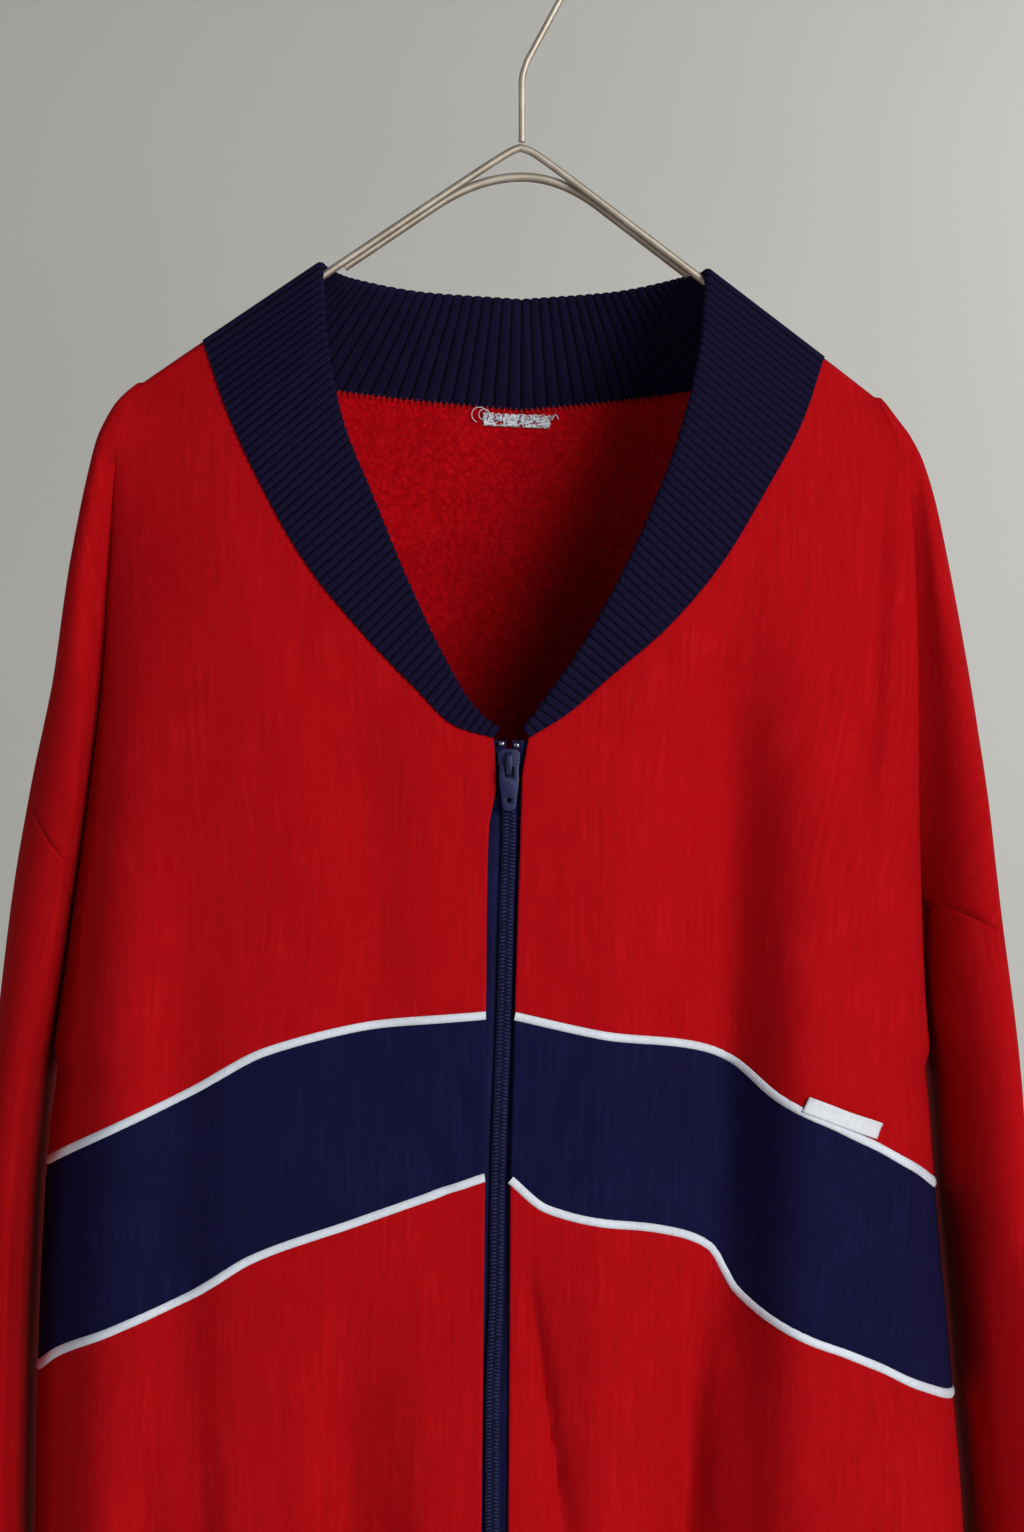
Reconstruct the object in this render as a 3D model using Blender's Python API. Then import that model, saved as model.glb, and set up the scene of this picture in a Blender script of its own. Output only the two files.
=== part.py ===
"""Zip-up sweatshirt hanging on a wire hanger.

Metres, +Z up. +X is the viewer's right and the front faces -Y. The origin is the inside top of the
hanger's hook, where a rail holds it. The tables are in millimetres. On each side of the garment x runs
outwards from the plane x = 0, and a height is a place on Z.
"""

import bisect
import math

import bmesh
import bpy
from mathutils import Vector

MM = 0.001

# cloth
CLOTH_HALF = 1.0  # half the thickness of the fleece
RIB_HALF = 1.0  # half the thickness of the rib knit between its ribs
RIB_RAISE = 0.7
PIPING_HALF_WIDTH = 1.8
PIPING_PROUD = 1.6
SEAM_HALF_GAP = 0.15
COLLAR_CLEAR = 0.45  # the collar's edge beyond the neck seam

# heights on Z
BODY_HEM_SEAM = -778.0
HEM_BOTTOM = -839.0
CUFF_SEAM = -765.0
CUFF_BOTTOM = -830.0
ARMPIT = -505.0
SEAM_LEAVES_FOLD = -430.0  # where the armhole seam comes out of the fold onto the sleeve

# how the cloth falls from the hanger
FRONT, BACK = -1, 1
TENT_HALF_WIDTH = 3.5  # the cloth's bend over the rod
TENT_HEIGHT = 3.0
TENT_FADE = 70.0  # drop in which the bend over the rod has gone from the body's side
SPREAD = {FRONT: 85.0, BACK: 22.0}  # drop in which the cloth reaches its full depth
SQUARENESS = {FRONT: 5.0, BACK: 4.0}  # of the body's corners in plan

# hanger
ARM_RADIUS = 1.7
ARCH_RADIUS = 2.0
HOOK_RADIUS = 1.5
ROD_TOP = -97.9  # where the two arms' lines would meet
ROD_BEND = 4.0
RIDGE_OVER_ROD = 5.3
ARM_TIP_X = {"left": 156.0, "right": 150.0}
ARM_SHARES = (0, 0.006, 0.013, 0.022, 0.035, 0.055, 0.09, 0.3, 0.65, 1)
ARCH_TOP = -112.3
ARCH_UNDER = 1.44  # below the arm, where it runs along it
ARCH_END_X = {"left": 78.0, "right": 73.0}
ARCH_STEPS = (8, 1)  # along its curve, and on to its end
ARCH_BEHIND = 3.8
HOOK_LOOP_RADIUS = 22.0
HOOK_NECK = -66.8
HOOK_FOOT = -98.0
HOOK_END_ANGLE = 215.0  # round the loop from +X
HOOK_STEPS = 24

# colours, linear
RED = (0.40, 0.012, 0.016)
NAVY = (0.010, 0.010, 0.035)
RIB_NAVY = (0.008, 0.008, 0.026)
WHITE = (0.72, 0.73, 0.75)
ENAMEL = (0.012, 0.018, 0.060)
SILVER = (0.62, 0.61, 0.58)
NICKEL = (0.30, 0.27, 0.23)

CENTRE_COLUMNS = ("height", "zip_x", "left_edge", "right_edge", "front_depth", "back_depth")
CENTRE = (
    (-359, -5.6, 12.0, 2.5, 46, 56),
    (-377, -5.6, 10.9, -0.4, 46, 56),
    (-397, -5.6, 14.0, -0.8, 46, 56),
    (-426, -6.5, 14.8, -1.8, 46, 56),
    (-475, -7.8, 15.2, -3.2, 46, 56),
    (-542, -10.2, 15.6, -5.0, 46, 56),
    (-592, -11.0, 15.2, -6.0, 46, 55),
    (-633, -12.5, 17.6, -7.2, 46, 54),
    (-688, -12.7, 24.0, -7.4, 46, 53),
    (-740, -12.5, 21.0, -7.0, 45, 52),
    (-778, -12.0, 18.0, -6.5, 44, 51),
    (-839, -11.5, 17.5, -6.0, 40, 47),
)

# The body's side, fold_x, meets the sleeve's inner side, inner_x, in a fold above the armpit.
SECTION_COLUMNS = (
    "height", "fold_x", "inner_x", "outline_x", "front_fold", "back_fold",
    "sleeve_y", "sleeve_front", "sleeve_back",
)
LEFT_SECTIONS = (
    (-204, 164.0, 165.3, 167.5, 0, 0, 0, 0, 0),
    (-213, 167.2, 169.0, 176.8, -5, 4, 1, -4, 7),
    (-220, 169.0, 171.0, 181.0, -9, 6, 2, -7, 10),
    (-228, 171.0, 173.0, 184.8, -11, 8, 3, -9, 13),
    (-240, 173.5, 175.5, 188.0, -11, 10, 4, -11, 18),
    (-280, 176.5, 178.8, 196.4, -8, 16, 8, -15, 32),
    (-330, 179.8, 182.3, 204.8, -5, 24, 13, -18, 48),
    (-380, 186.3, 189.0, 216.3, 0, 30, 18, -20, 60),
    (-430, 194.0, 197.0, 225.6, 6, 32, 22, -21, 70),
    (-480, 202.6, 206.0, 231.5, 17, 30, 24, -21, 78),
    (-505, 207.5, 211.3, 234.0, 25, 25, 25, -22, 81),
    (-560, 213.2, 216.7, 239.0, 25, 25, 26, -22, 84),
    (-640, 216.4, 219.9, 245.0, 25, 25, 27, -21, 84),
    (-720, 217.6, 221.1, 248.0, 25, 25, 27, -17, 79),
    (-765, 217.4, 221.0, 247.0, 25, 25, 27, -6, 64),
    (-778, 216.8, 220.8, 246.5, 25, 25, 27, -5, 62),
    (-839, 208.0, 220.4, 246.0, 25, 25, 27, -6, 60),
)
RIGHT_SECTIONS = (
    (-210, 152.5, 153.8, 156.0, 0, 0, 0, 0, 0),
    (-220, 157.0, 159.0, 162.5, -7, 4, 1, -5, 6),
    (-228, 160.0, 162.0, 168.4, -10, 6, 2, -8, 10),
    (-240, 163.0, 165.2, 174.3, -12, 9, 3, -11, 15),
    (-280, 167.0, 169.6, 184.8, -14, 16, 7, -16, 31),
    (-330, 168.5, 171.3, 194.2, -13, 24, 12, -20, 47),
    (-380, 169.5, 172.4, 201.2, -8, 30, 17, -22, 59),
    (-430, 172.1, 175.2, 207.2, 2, 32, 21, -22, 69),
    (-480, 176.2, 179.8, 214.2, 15, 29, 24, -22, 77),
    (-505, 180.5, 184.6, 217.0, 25, 25, 25, -22, 80),
    (-560, 184.9, 188.4, 220.6, 25, 25, 26, -21, 83),
    (-640, 192.0, 195.5, 223.4, 25, 25, 27, -20, 83),
    (-720, 198.2, 201.7, 224.4, 25, 25, 27, -16, 78),
    (-765, 198.8, 202.3, 224.4, 25, 25, 27, -6, 64),
    (-778, 198.2, 202.2, 224.4, 25, 25, 27, -5, 62),
    (-839, 190.0, 202.0, 224.0, 25, 25, 27, -6, 60),
)

# The rib collar: its seam to the body and its free edge, from the shoulder down to the zip's top.
NECK_COLUMNS = ("share", "seam_x", "seam_z", "edge_x", "edge_z")
LEFT_NECK = (
    (0.16, 126.0, -219.0, 85.0, -187.5),
    (0.33, 110.0, -252.5, 77.4, -224.0),
    (0.50, 91.5, -284.5, 63.2, -260.0),
    (0.67, 67.8, -314.0, 48.4, -295.5),
    (0.82, 44.8, -338.0, 33.8, -326.0),
    (0.93, 27.0, -354.6, 21.2, -347.0),
    (1.00, 12.0, -359.0, 10.4, -356.8),
)
RIGHT_NECK = (
    (0.16, 119.3, -224.2, 77.4, -190.0),
    (0.33, 102.0, -255.6, 68.9, -226.6),
    (0.50, 83.1, -286.2, 56.2, -261.6),
    (0.67, 60.0, -313.3, 40.4, -295.6),
    (0.82, 36.0, -334.0, 24.2, -324.0),
    (0.93, 18.0, -349.5, 10.2, -344.0),
    (1.00, 2.5, -359.0, 0.8, -356.4),
)
# and from the shoulder round to the centre back. The x values are shares of the shoulder's.
BACK_NECK_LEVEL = -188.0  # where both shoulders' seams level out behind the rod
BACK_EDGE_LEVEL = -153.0  # and the collar's free edge
BACK_NECK_COLUMNS = ("share", "seam_x", "seam_drop", "edge_x", "edge_y", "edge_drop")
BACK_NECK = (
    (0.00, 1.000, 0.0, 1.000, 0, 0.0),
    (0.08, 0.968, 3.5, 0.980, 7, 0.4),
    (0.30, 0.810, 6.0, 0.860, 24, 0.8),
    (0.60, 0.480, 11.0, 0.520, 39, 3.4),
    (1.00, 0.000, 17.0, 0.000, 45, 5.6),
)

# The chest band's two edges, as (x, height) of the piping's middle.
LEFT_PIPING = {
    "top": ((16, -474), (60, -478), (106, -489), (139, -507), (168, -521), (197, -537), (211, -546)),
    "bottom": ((16, -541), (70, -560), (112, -575), (139, -592), (168, -605), (199, -622), (213, -635)),
}
RIGHT_PIPING = {
    "top": (
        (-4, -474), (32, -482), (67, -488), (90, -496), (108, -510), (134, -523), (168, -543), (182, -555),
    ),
    "bottom": (
        (-6, -541), (10, -554), (56, -565), (80, -576), (92, -594), (118, -609), (137, -617), (167, -633),
        (190, -647),
    ),
}

# The two labels' middle lines and half widths.
BAND_LABEL = ((118.0, -511.5), (149.5, -524.8), 3.4)
NECK_LABEL = ((21.0, -210.5), (-13.0, -211.5), 3.0)

# Large folds: troughs down the cloth, from (top_x, top) to (bottom_x, bottom).
FOLD_COLUMNS = ("face", "top_x", "top", "bottom_x", "bottom", "half_width", "depth")
LEFT_FOLDS = (
    (FRONT, 66, -560, 60, -960, 26, 9),
    (FRONT, 140, -380, 150, -900, 22, 4),
    (BACK, 62, -260, 74, -960, 40, 14),
    (BACK, 140, -420, 146, -960, 24, 8),
)
RIGHT_FOLDS = (
    (FRONT, 84, -260, 64, -960, 46, 22),
    (FRONT, 8, -530, 26, -960, 22, 5),
    (BACK, 48, -300, 56, -960, 38, 12),
    (BACK, 122, -360, 132, -960, 26, 9),
)

SHOULDER_X = {"left": (138.6, 88.3), "right": (131.1, 81.3)}  # collar seam and free edge over the rod
ARMHOLE_OUTSIDE = {"left": -381.0, "right": -455.0}  # where the armhole seam crosses the outline
ROD_SLOPE = {"left": 0.672, "right": 0.765}

# grids: shares of the way from the centre edge to the side, and from the shoulder down
FRONT_ACROSS = (0, 0.03, 0.065, 0.13, 0.22, 0.32, 0.42, 0.52, 0.62, 0.72, 0.81, 0.88, 0.935, 0.975, 1)
BACK_ACROSS = (0, 0.1, 0.22, 0.36, 0.5, 0.64, 0.77, 0.87, 0.94, 1)
UPPER_DOWN = (0, 0.012, 0.045, 0.11, 0.2, 0.3, 0.42, 0.56, 0.7, 0.85, 1)  # shoulder to SEAM_LEAVES_FOLD
NECK_ROWS = (0, 0.02, 0.07, 0.16, 0.27, 0.39, 0.51, 0.64, 0.77, 0.9, 1)  # where those rows start on its seam
BACK_NECK_ROWS = (0, 0.05, 0.14, 0.3, 0.5, 0.75, 1)  # and on the back's neck seam
ARMHOLE_DOWN = (0.35, 0.7, 1)  # on down the fold to the armpit
SIDE_DOWN = (0.5, 1)  # and down the side seam to the chest band
BACK_SIDE_DOWN = (0.15, 0.35, 0.55, 0.78, 1)
BAND_DOWN = (0, 0.5, 1)
LOWER_DOWN = (0, 0.25, 0.5, 0.75, 1)
LOBE_ACROSS = (0, 0.2, 0.4, 0.6, 0.8, 1)
SLEEVE_DOWN = (0, 0.03, 0.09, 0.18, 0.29, 0.42, 0.55, 0.68, 0.8, 0.9, 0.96, 1)

FRONT_RIBS = 60  # along one side of the front neck
BACK_NECK_RIBS = 26  # from a shoulder to the centre back
HEM_RIB_PITCH = 4.2
CUFF_RIBS = 44
RIBS_TO_INNER_FACE = 2  # ribs spanned by one face of the plain inside
RING_STEPS = 60  # points on a quarter of the plan that the ribs are spaced along

# zip
TAPE_INNER, TAPE_OUTER = 1.7, 16.0
TAPE_BEHIND, TAPE_HALF = 2.1, 0.4
CHAIN_HALF_WIDTH = 3.0
CHAIN_FRONT, CHAIN_BACK = -0.9, 1.1
ZIP_TOP = -360.0
SLIDER_TOP, SLIDER_BOTTOM = -363.6, -377.6
SLIDER_HALF_WIDTH = 4.6
CHAIN_BOTTOM = -825.0
SLIDER_PLATE = (-2.9, -1.3)  # from the cloth's middle surface, towards the back
SLIDER_UNDER = (3.0, 4.2)
BRIDGE_TOP, BRIDGE_BOTTOM = -365.2, -374.5
BRIDGE_HALF_WIDTH, BRIDGE_PROUD, BRIDGE_WALL = 1.2, 3.3, 1.2
LAP = 0.5  # how far joined solids run into each other
STOP_OFFSET, STOP_HALF_WIDTH = 3.1, 1.1
ZIP_BOX_HEIGHT, ZIP_BOX_HALF_WIDTH = 9.2, 4.2
ZIP_HEIGHTS = tuple(ZIP_TOP - 475.0 * i / 18 for i in range(19))
ZIP_ACROSS = (0, 0.33, 0.67, 1)
CHAIN_ROWS = 17
CHAIN_BELOW_SLIDER_TOP = 2.8

TAB_AXIS_HEIGHT = -370.6
TAB_AXIS_PROUD = 1.05  # of the slider's plate
TAB_HALF = 0.5  # half the tab's thickness
TAB_WIDTH_COLUMNS = ("height", "half_width")
TAB_WIDTHS = ((0.6, 3.6), (-0.6, 3.9), (-5.0, 4.1), (-8.0, 3.9), (-13.0, 3.2), (-17.4, 2.7), (-18.6, 1.7))
TAB_EYE = ((-1.9, -2.0, -4.9), (1.9, 2.0, -0.55))  # two corners of the hole the bridge runs through


class Profile:
    """A smooth curve through (key, value) pairs that doesn't overshoot them."""

    def __init__(self, keys, values):
        pairs = sorted(zip(keys, values))
        self.keys = [float(key) for key, _ in pairs]
        self.values = [float(value) for _, value in pairs]
        steps = [b - a for a, b in zip(self.keys, self.keys[1:])]
        rises = [(b - a) / step for a, b, step in zip(self.values, self.values[1:], steps)]
        self.slopes = [rises[0]]
        for r0, r1, h0, h1 in zip(rises, rises[1:], steps, steps[1:]):
            same_way = r0 * r1 > 0
            self.slopes.append(3 * (h0 + h1) / ((2 * h1 + h0) / r0 + (h1 + 2 * h0) / r1) if same_way else 0.0)
        self.slopes.append(rises[-1])

    def __call__(self, key):
        key = min(max(key, self.keys[0]), self.keys[-1])
        i = min(bisect.bisect_right(self.keys, key), len(self.keys) - 1) - 1
        step = self.keys[i + 1] - self.keys[i]
        t = (key - self.keys[i]) / step
        rise = self.values[i + 1] - self.values[i]
        start, end = self.slopes[i] * step, self.slopes[i + 1] * step
        return self.values[i] + t * (start + t * (3 * rise - 2 * start - end + t * (start + end - 2 * rise)))


def profiles(columns, rows):
    """One Profile for each column after the first, which is the key."""
    keys = [row[0] for row in rows]
    return {name: Profile(keys, [row[i] for row in rows]) for i, name in enumerate(columns) if i}


def mix(a, b, t):
    return a + (b - a) * t


def smooth(t):
    t = min(1.0, max(0.0, t))
    return t * t * (3 - 2 * t)


class Side:
    """One half of the garment. Points here are (x outwards, y, z) in millimetres."""

    def __init__(self, name, sign, sections, neck, piping, folds):
        self.name, self.sign = name, sign
        self.section = profiles(SECTION_COLUMNS, sections)
        self.centre = profiles(CENTRE_COLUMNS, CENTRE)
        self.seam_x, self.edge_x = SHOULDER_X[name]
        shoulder = (0.0, self.seam_x, self.ridge(self.seam_x), self.edge_x, self.ridge(self.edge_x))
        self.neck = profiles(NECK_COLUMNS, (shoulder,) + neck)
        self.back_neck = profiles(BACK_NECK_COLUMNS, BACK_NECK)
        self.piping = {line: Profile(*zip(*rows)) for line, rows in piping.items()}
        self.folds = [dict(zip(FOLD_COLUMNS, row)) for row in folds]
        self.tip = self.ridge((sections[0][1] + sections[0][3]) / 2)

    def world(self, point):
        return Vector((self.sign * point[0], point[1], point[2])) * MM

    def turn(self, normal):
        return Vector((self.sign * normal[0], normal[1], normal[2])).normalized()

    def ridge(self, x):
        """Height of the cloth's fold over the hanger's arm."""
        return ROD_TOP + RIDGE_OVER_ROD - ROD_SLOPE[self.name] * abs(x)

    def centre_edge(self, z):
        """The zip edge of the front."""
        return self.centre[self.name + "_edge"](z)

    def side_x(self, z):
        """Where the body's cloth ends: the bottom of the fold above the armpit, the side seam below it."""
        fold, inner = self.section["fold_x"](z), self.section["inner_x"](z)
        return mix(fold - 1.5, (fold + inner) / 2, smooth((z - ARMPIT) / 12))

    def tent(self, drop):
        """The cloth's half width where it bends over the rod."""
        return TENT_HALF_WIDTH * min(1.0, math.sqrt(max(0.0, drop) / TENT_HEIGHT))

    def edge_depth(self, face, drop, z):
        """How far towards the face the body's cloth ends at its side."""
        table = self.section["front_fold" if face == FRONT else "back_fold"](z)
        return face * table + self.tent(drop) * (1 - smooth(drop / TENT_FADE))

    def creases(self, face, x, z):
        total = 0.0
        for fold in self.folds:
            along = (fold["top"] - z) / (fold["top"] - fold["bottom"])
            across = (x - mix(fold["top_x"], fold["bottom_x"], along)) / fold["half_width"]
            if fold["face"] == face and 0 < along < 1 and abs(across) < 1:
                total += fold["depth"] * smooth(along / 0.35) * math.cos(across * math.pi / 2) ** 2
        return total

    def body_y(self, face, x, z):
        """The front or back of the body, as a depth over its outline."""
        drop = max(0.0, self.ridge(x) - z)
        depth = self.centre["front_depth" if face == FRONT else "back_depth"](z)
        reach = self.tent(drop) + depth * (1 - math.exp(-drop / SPREAD[face]))
        share = min(1.0, max(0.0, x) / self.side_x(z))
        arch = math.sqrt(1 - share ** SQUARENESS[face])
        edge = self.edge_depth(face, drop, z)
        return face * (edge + (reach - edge) * arch - self.creases(face, x, z) * arch)

    def body_normal(self, face, x, z):
        if z > self.ridge(x) - 0.6:
            return (ROD_SLOPE[self.name], 0, 1)
        if x > self.side_x(z) - 0.05:
            return (1, 0, 0) if at_side_seam(z) else (0, face, 0)
        step = min(1.0, (self.side_x(z) - x) * 0.8)
        across = (self.body_y(face, x + step, z) - self.body_y(face, x - step, z)) / (2 * step)
        if face == BACK and abs(x) < step:
            across = 0.0
        down = self.body_y(face, x, z + 1) - self.body_y(face, x, z - 1)
        return (-across * face, face, -down / 2 * face)

    def on_body(self, face, x, z, lift=0.0):
        """A point on the body's middle surface and its outward normal."""
        normal = Vector(self.body_normal(face, x, z)).normalized()
        point = Vector((x, self.body_y(face, x, z), z)) + normal * lift
        return self.world(point), self.turn(normal)

    def sleeve_ring(self, z):
        value = {name: curve(z) for name, curve in self.section.items()}
        tent = self.tent(self.tip - z)
        centre = (value["inner_x"] + value["outline_x"]) / 2
        half_width = (value["outline_x"] - value["inner_x"]) / 2
        front = value["sleeve_y"] - value["sleeve_front"] + tent
        back = value["sleeve_back"] - value["sleeve_y"] + tent
        return centre, half_width, value["sleeve_y"], front, back

    def on_sleeve(self, angle, z, y_shift=0.0):
        """A point round the sleeve. Angle 0 is the outline, positive towards the front."""
        centre, half_width, middle, front, back = self.sleeve_ring(z)
        reach = front if angle > 0 else back
        x = centre + half_width * math.cos(angle)
        y = middle - reach * math.sin(angle)
        if drop_is_nil(self.tip, z):
            normal = (0, 0, 1)
        else:
            normal = (math.cos(angle) / half_width, -math.sin(angle) / reach, 0)
        return self.world((x, y + y_shift, z)), self.turn(normal)

    def fold_angle(self, face, z):
        """The angle on the sleeve's ring where it meets the fold's bottom."""
        _, _, middle, front, back = self.sleeve_ring(z)
        reach = front if face == FRONT else back
        gap = face * (self.body_y(face, self.side_x(z), z) - middle)
        ratio = min(0.999, max(0.0, gap / reach)) if reach > 0 else 0.0
        return -face * (math.pi - math.asin(ratio))

    def on_fold(self, face, z, x_shift=0.0):
        """The bottom of the fold between body and sleeve."""
        x = self.side_x(z)
        normal = Vector((0, 0, 1)) if drop_is_nil(self.tip, z) else Vector((0, face, 0))
        return self.world((x + x_shift, self.body_y(face, x, z), z)), normal

    def armhole(self, share):
        """Height of the armhole seam, from the fold (0) to the outline (1)."""
        return mix(SEAM_LEAVES_FOLD, ARMHOLE_OUTSIDE[self.name], smooth(share))


def drop_is_nil(top, z):
    return z > top - 0.3


def at_side_seam(z):
    return z < ARMPIT + 2.0


def material(name, colour, roughness, metallic=0.0):
    made = bpy.data.materials.new(name)
    made.use_nodes = True
    shader = made.node_tree.nodes["Principled BSDF"]
    shader.inputs["Base Color"].default_value = (*colour, 1.0)
    shader.inputs["Roughness"].default_value = roughness
    shader.inputs["Metallic"].default_value = metallic
    return made


def add_object(name, mesh, made_of):
    thing = bpy.data.objects.new(name, mesh)
    mesh.materials.append(made_of)
    bpy.context.scene.collection.objects.link(thing)
    return thing


def finish_mesh(name, bm, made_of, smooth_angle=None):
    bmesh.ops.recalc_face_normals(bm, faces=bm.faces)
    mesh = bpy.data.meshes.new(name)
    bm.to_mesh(mesh)
    bm.free()
    if smooth_angle:
        mesh.shade_smooth()
        mesh.set_sharp_from_angle(angle=math.radians(smooth_angle))
    return add_object(name, mesh, made_of)


def wall(name, patches, outer, inner, made_of):
    """A wall of cloth. Each patch is a grid of (point, normal), and patches join where their points meet."""
    bm = bmesh.new()
    ways = bm.verts.layers.float_vector.new("outward")
    for patch in patches:
        rows, columns = len(patch), len(patch[0])
        grid = bmesh.ops.create_grid(bm, x_segments=columns - 1, y_segments=rows - 1, size=1)["verts"]
        for vert in grid:
            column = round((vert.co.x + 1) / 2 * (columns - 1))
            row = round((vert.co.y + 1) / 2 * (rows - 1))
            point, normal = patch[row][column]
            vert[ways] = normal
            vert.co = point + normal * outer * MM
    bmesh.ops.remove_doubles(bm, verts=bm.verts, dist=2e-5)
    first = set(bm.verts)
    made = bmesh.ops.extrude_face_region(bm, geom=list(bm.faces))["geom"]
    moved = [item for item in made if isinstance(item, bmesh.types.BMVert) and item not in first]
    for vert in moved:
        vert.co -= Vector(vert[ways]) * (outer + inner) * MM
    bmesh.ops.triangulate(bm, faces=bm.faces)
    return finish_mesh(name, bm, made_of, smooth_angle=50)


def body_grid(side, face, inner_edge, down, across, bend=None):
    """Rows from the shoulder down. inner_edge(i) gives row i's inner (x, z), down its heights at the side."""
    rows = []
    for i, side_z in enumerate(down):
        in_x, in_z = inner_edge(i)
        row = []
        for share in across:
            x = mix(in_x, side.side_x(side_z), share)
            z = mix(in_z, side_z, share) + (bend(i, x, share) if bend else 0.0)
            row.append(side.on_body(face, x, z))
        rows.append(row)
    return rows


def lobe_grid(side, face, heights):
    """The dropped shoulder outside the fold, from its crest at the hanger's tip to the armhole seam."""
    rows = []
    for height in heights:
        fall = (side.tip - height) / (side.tip - SEAM_LEAVES_FOLD)
        row = []
        for share in LOBE_ACROSS:
            z = mix(side.tip, side.armhole(share) + SEAM_HALF_GAP * 2, fall)
            if share == 0:
                row.append(side.on_fold(face, height))
            else:
                angle = mix(side.fold_angle(face, z), 0.0, share)
                row.append(side.on_sleeve(angle, z, face * SEAM_HALF_GAP if share == 1 else 0.0))
        rows.append(row)
    return rows


def close_seams(side, face, patch):
    """Moves a body grid off the shoulder and side seams by half their gap."""
    for column, (point, normal) in enumerate(patch[0]):
        patch[0][column] = (point + Vector((0, face * SEAM_HALF_GAP * MM, 0)), normal)
    for row in patch:
        point, normal = row[-1]
        if at_side_seam(point.z / MM):
            row[-1] = (point + Vector((0, face * SEAM_HALF_GAP * MM, 0)), normal)
    return patch


def neck_row(side, share):
    """The collar's seam on the front, from the shoulder (0) to the zip's top (1)."""
    return side.neck["seam_x"](share), side.neck["seam_z"](share)


def back_neck_row(side, share):
    x = side.back_neck["seam_x"](share) * side.seam_x
    level = mix(side.ridge(side.seam_x), BACK_NECK_LEVEL, smooth(share / 0.12))
    return x, level - side.back_neck["seam_drop"](share)


def heights_down(side, side_bottom, side_shares):
    fold = [mix(side.tip, SEAM_LEAVES_FOLD, share) for share in UPPER_DOWN]
    arm = [mix(SEAM_LEAVES_FOLD, ARMPIT, share) for share in ARMHOLE_DOWN]
    seam = [mix(ARMPIT, side_bottom, share) for share in side_shares]
    return fold + arm + seam


def front_upper(side, red):
    bottom_line = side.piping["top"]
    gap = PIPING_HALF_WIDTH + 2 * SEAM_HALF_GAP
    columns = line_columns(side, bottom_line)
    side_bottom = bottom_line(columns[-1]) + gap
    down = heights_down(side, side_bottom, SIDE_DOWN)
    corner = len(UPPER_DOWN) - 1
    below = len(down) - 1 - corner

    def inner_edge(i):
        if i <= corner:
            x, z = neck_row(side, NECK_ROWS[i])
            off = SEAM_HALF_GAP if i else 0.0
            return x + off, z - off
        z = mix(ZIP_TOP, bottom_line(columns[0]) + gap, (i - corner) / below)
        return (side.centre_edge(z) if i < len(down) - 1 else columns[0]), z

    def bend(i, x, share):
        last = inner_edge(len(down) - 1)[1]
        straight = mix(last, side_bottom, share)
        fade = max(0.0, (i - corner) / below)
        return (bottom_line(x) + gap - straight) * fade * fade

    body = close_seams(side, FRONT, body_grid(side, FRONT, inner_edge, down, FRONT_ACROSS, bend))
    lobe = lobe_grid(side, FRONT, down[: corner + 1])
    for i in range(corner + 1):
        body[i][-1] = lobe[i][0]
    for column in range(len(lobe[0])):
        point, normal = lobe[0][column]
        lobe[0][column] = (Vector((point.x, FRONT * SEAM_HALF_GAP * MM, point.z)), normal)
    body[0][-1] = lobe[0][0]
    wall("front_upper_" + side.name, [body, lobe], CLOTH_HALF, CLOTH_HALF, red)


def line_columns(side, line):
    """Where the front's columns cross one of the chest band's lines."""
    centre_z = line(side.centre_edge(-510))
    side_z = line(side.side_x(-560))
    return [mix(side.centre_edge(centre_z), side.side_x(side_z), across) for across in FRONT_ACROSS]


def front_strip(side, name, top, bottom, down, outer, made_of):
    """A front piece between two lines. Each is a function of x that gives a height, with a shift of it."""
    (top_line, top_shift), (bottom_line, bottom_shift) = top, bottom
    top_xs, bottom_xs = line_columns(side, top_line), line_columns(side, bottom_line)
    rows = []
    for share in down:
        row = []
        for top_x, bottom_x in zip(top_xs, bottom_xs):
            z = mix(top_line(top_x) + top_shift, bottom_line(bottom_x) + bottom_shift, share)
            x = min(mix(top_x, bottom_x, share), side.side_x(z))
            if top_x == top_xs[-1]:
                x = side.side_x(z)
            row.append(side.on_body(FRONT, x, z))
        point, normal = row[-1]
        row[-1] = (point + Vector((0, FRONT * SEAM_HALF_GAP * MM, 0)), normal)
        rows.append(row)
    wall(name + "_" + side.name, [rows], outer, CLOTH_HALF, made_of)


def front_below(side, red, navy, white):
    top, bottom = side.piping["top"], side.piping["bottom"]
    half, edge = PIPING_HALF_WIDTH, PIPING_HALF_WIDTH + 2 * SEAM_HALF_GAP
    for name, line in (("piping_top", top), ("piping_bottom", bottom)):
        front_strip(side, name, (line, half), (line, -half), (0, 1), PIPING_PROUD, white)
    front_strip(side, "chest_band", (top, -edge), (bottom, edge), BAND_DOWN, CLOTH_HALF, navy)
    hem = Profile((-50, 250), (BODY_HEM_SEAM, BODY_HEM_SEAM))
    front_strip(side, "front_lower", (bottom, -edge), (hem, SEAM_HALF_GAP), LOWER_DOWN, CLOTH_HALF, red)


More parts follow.
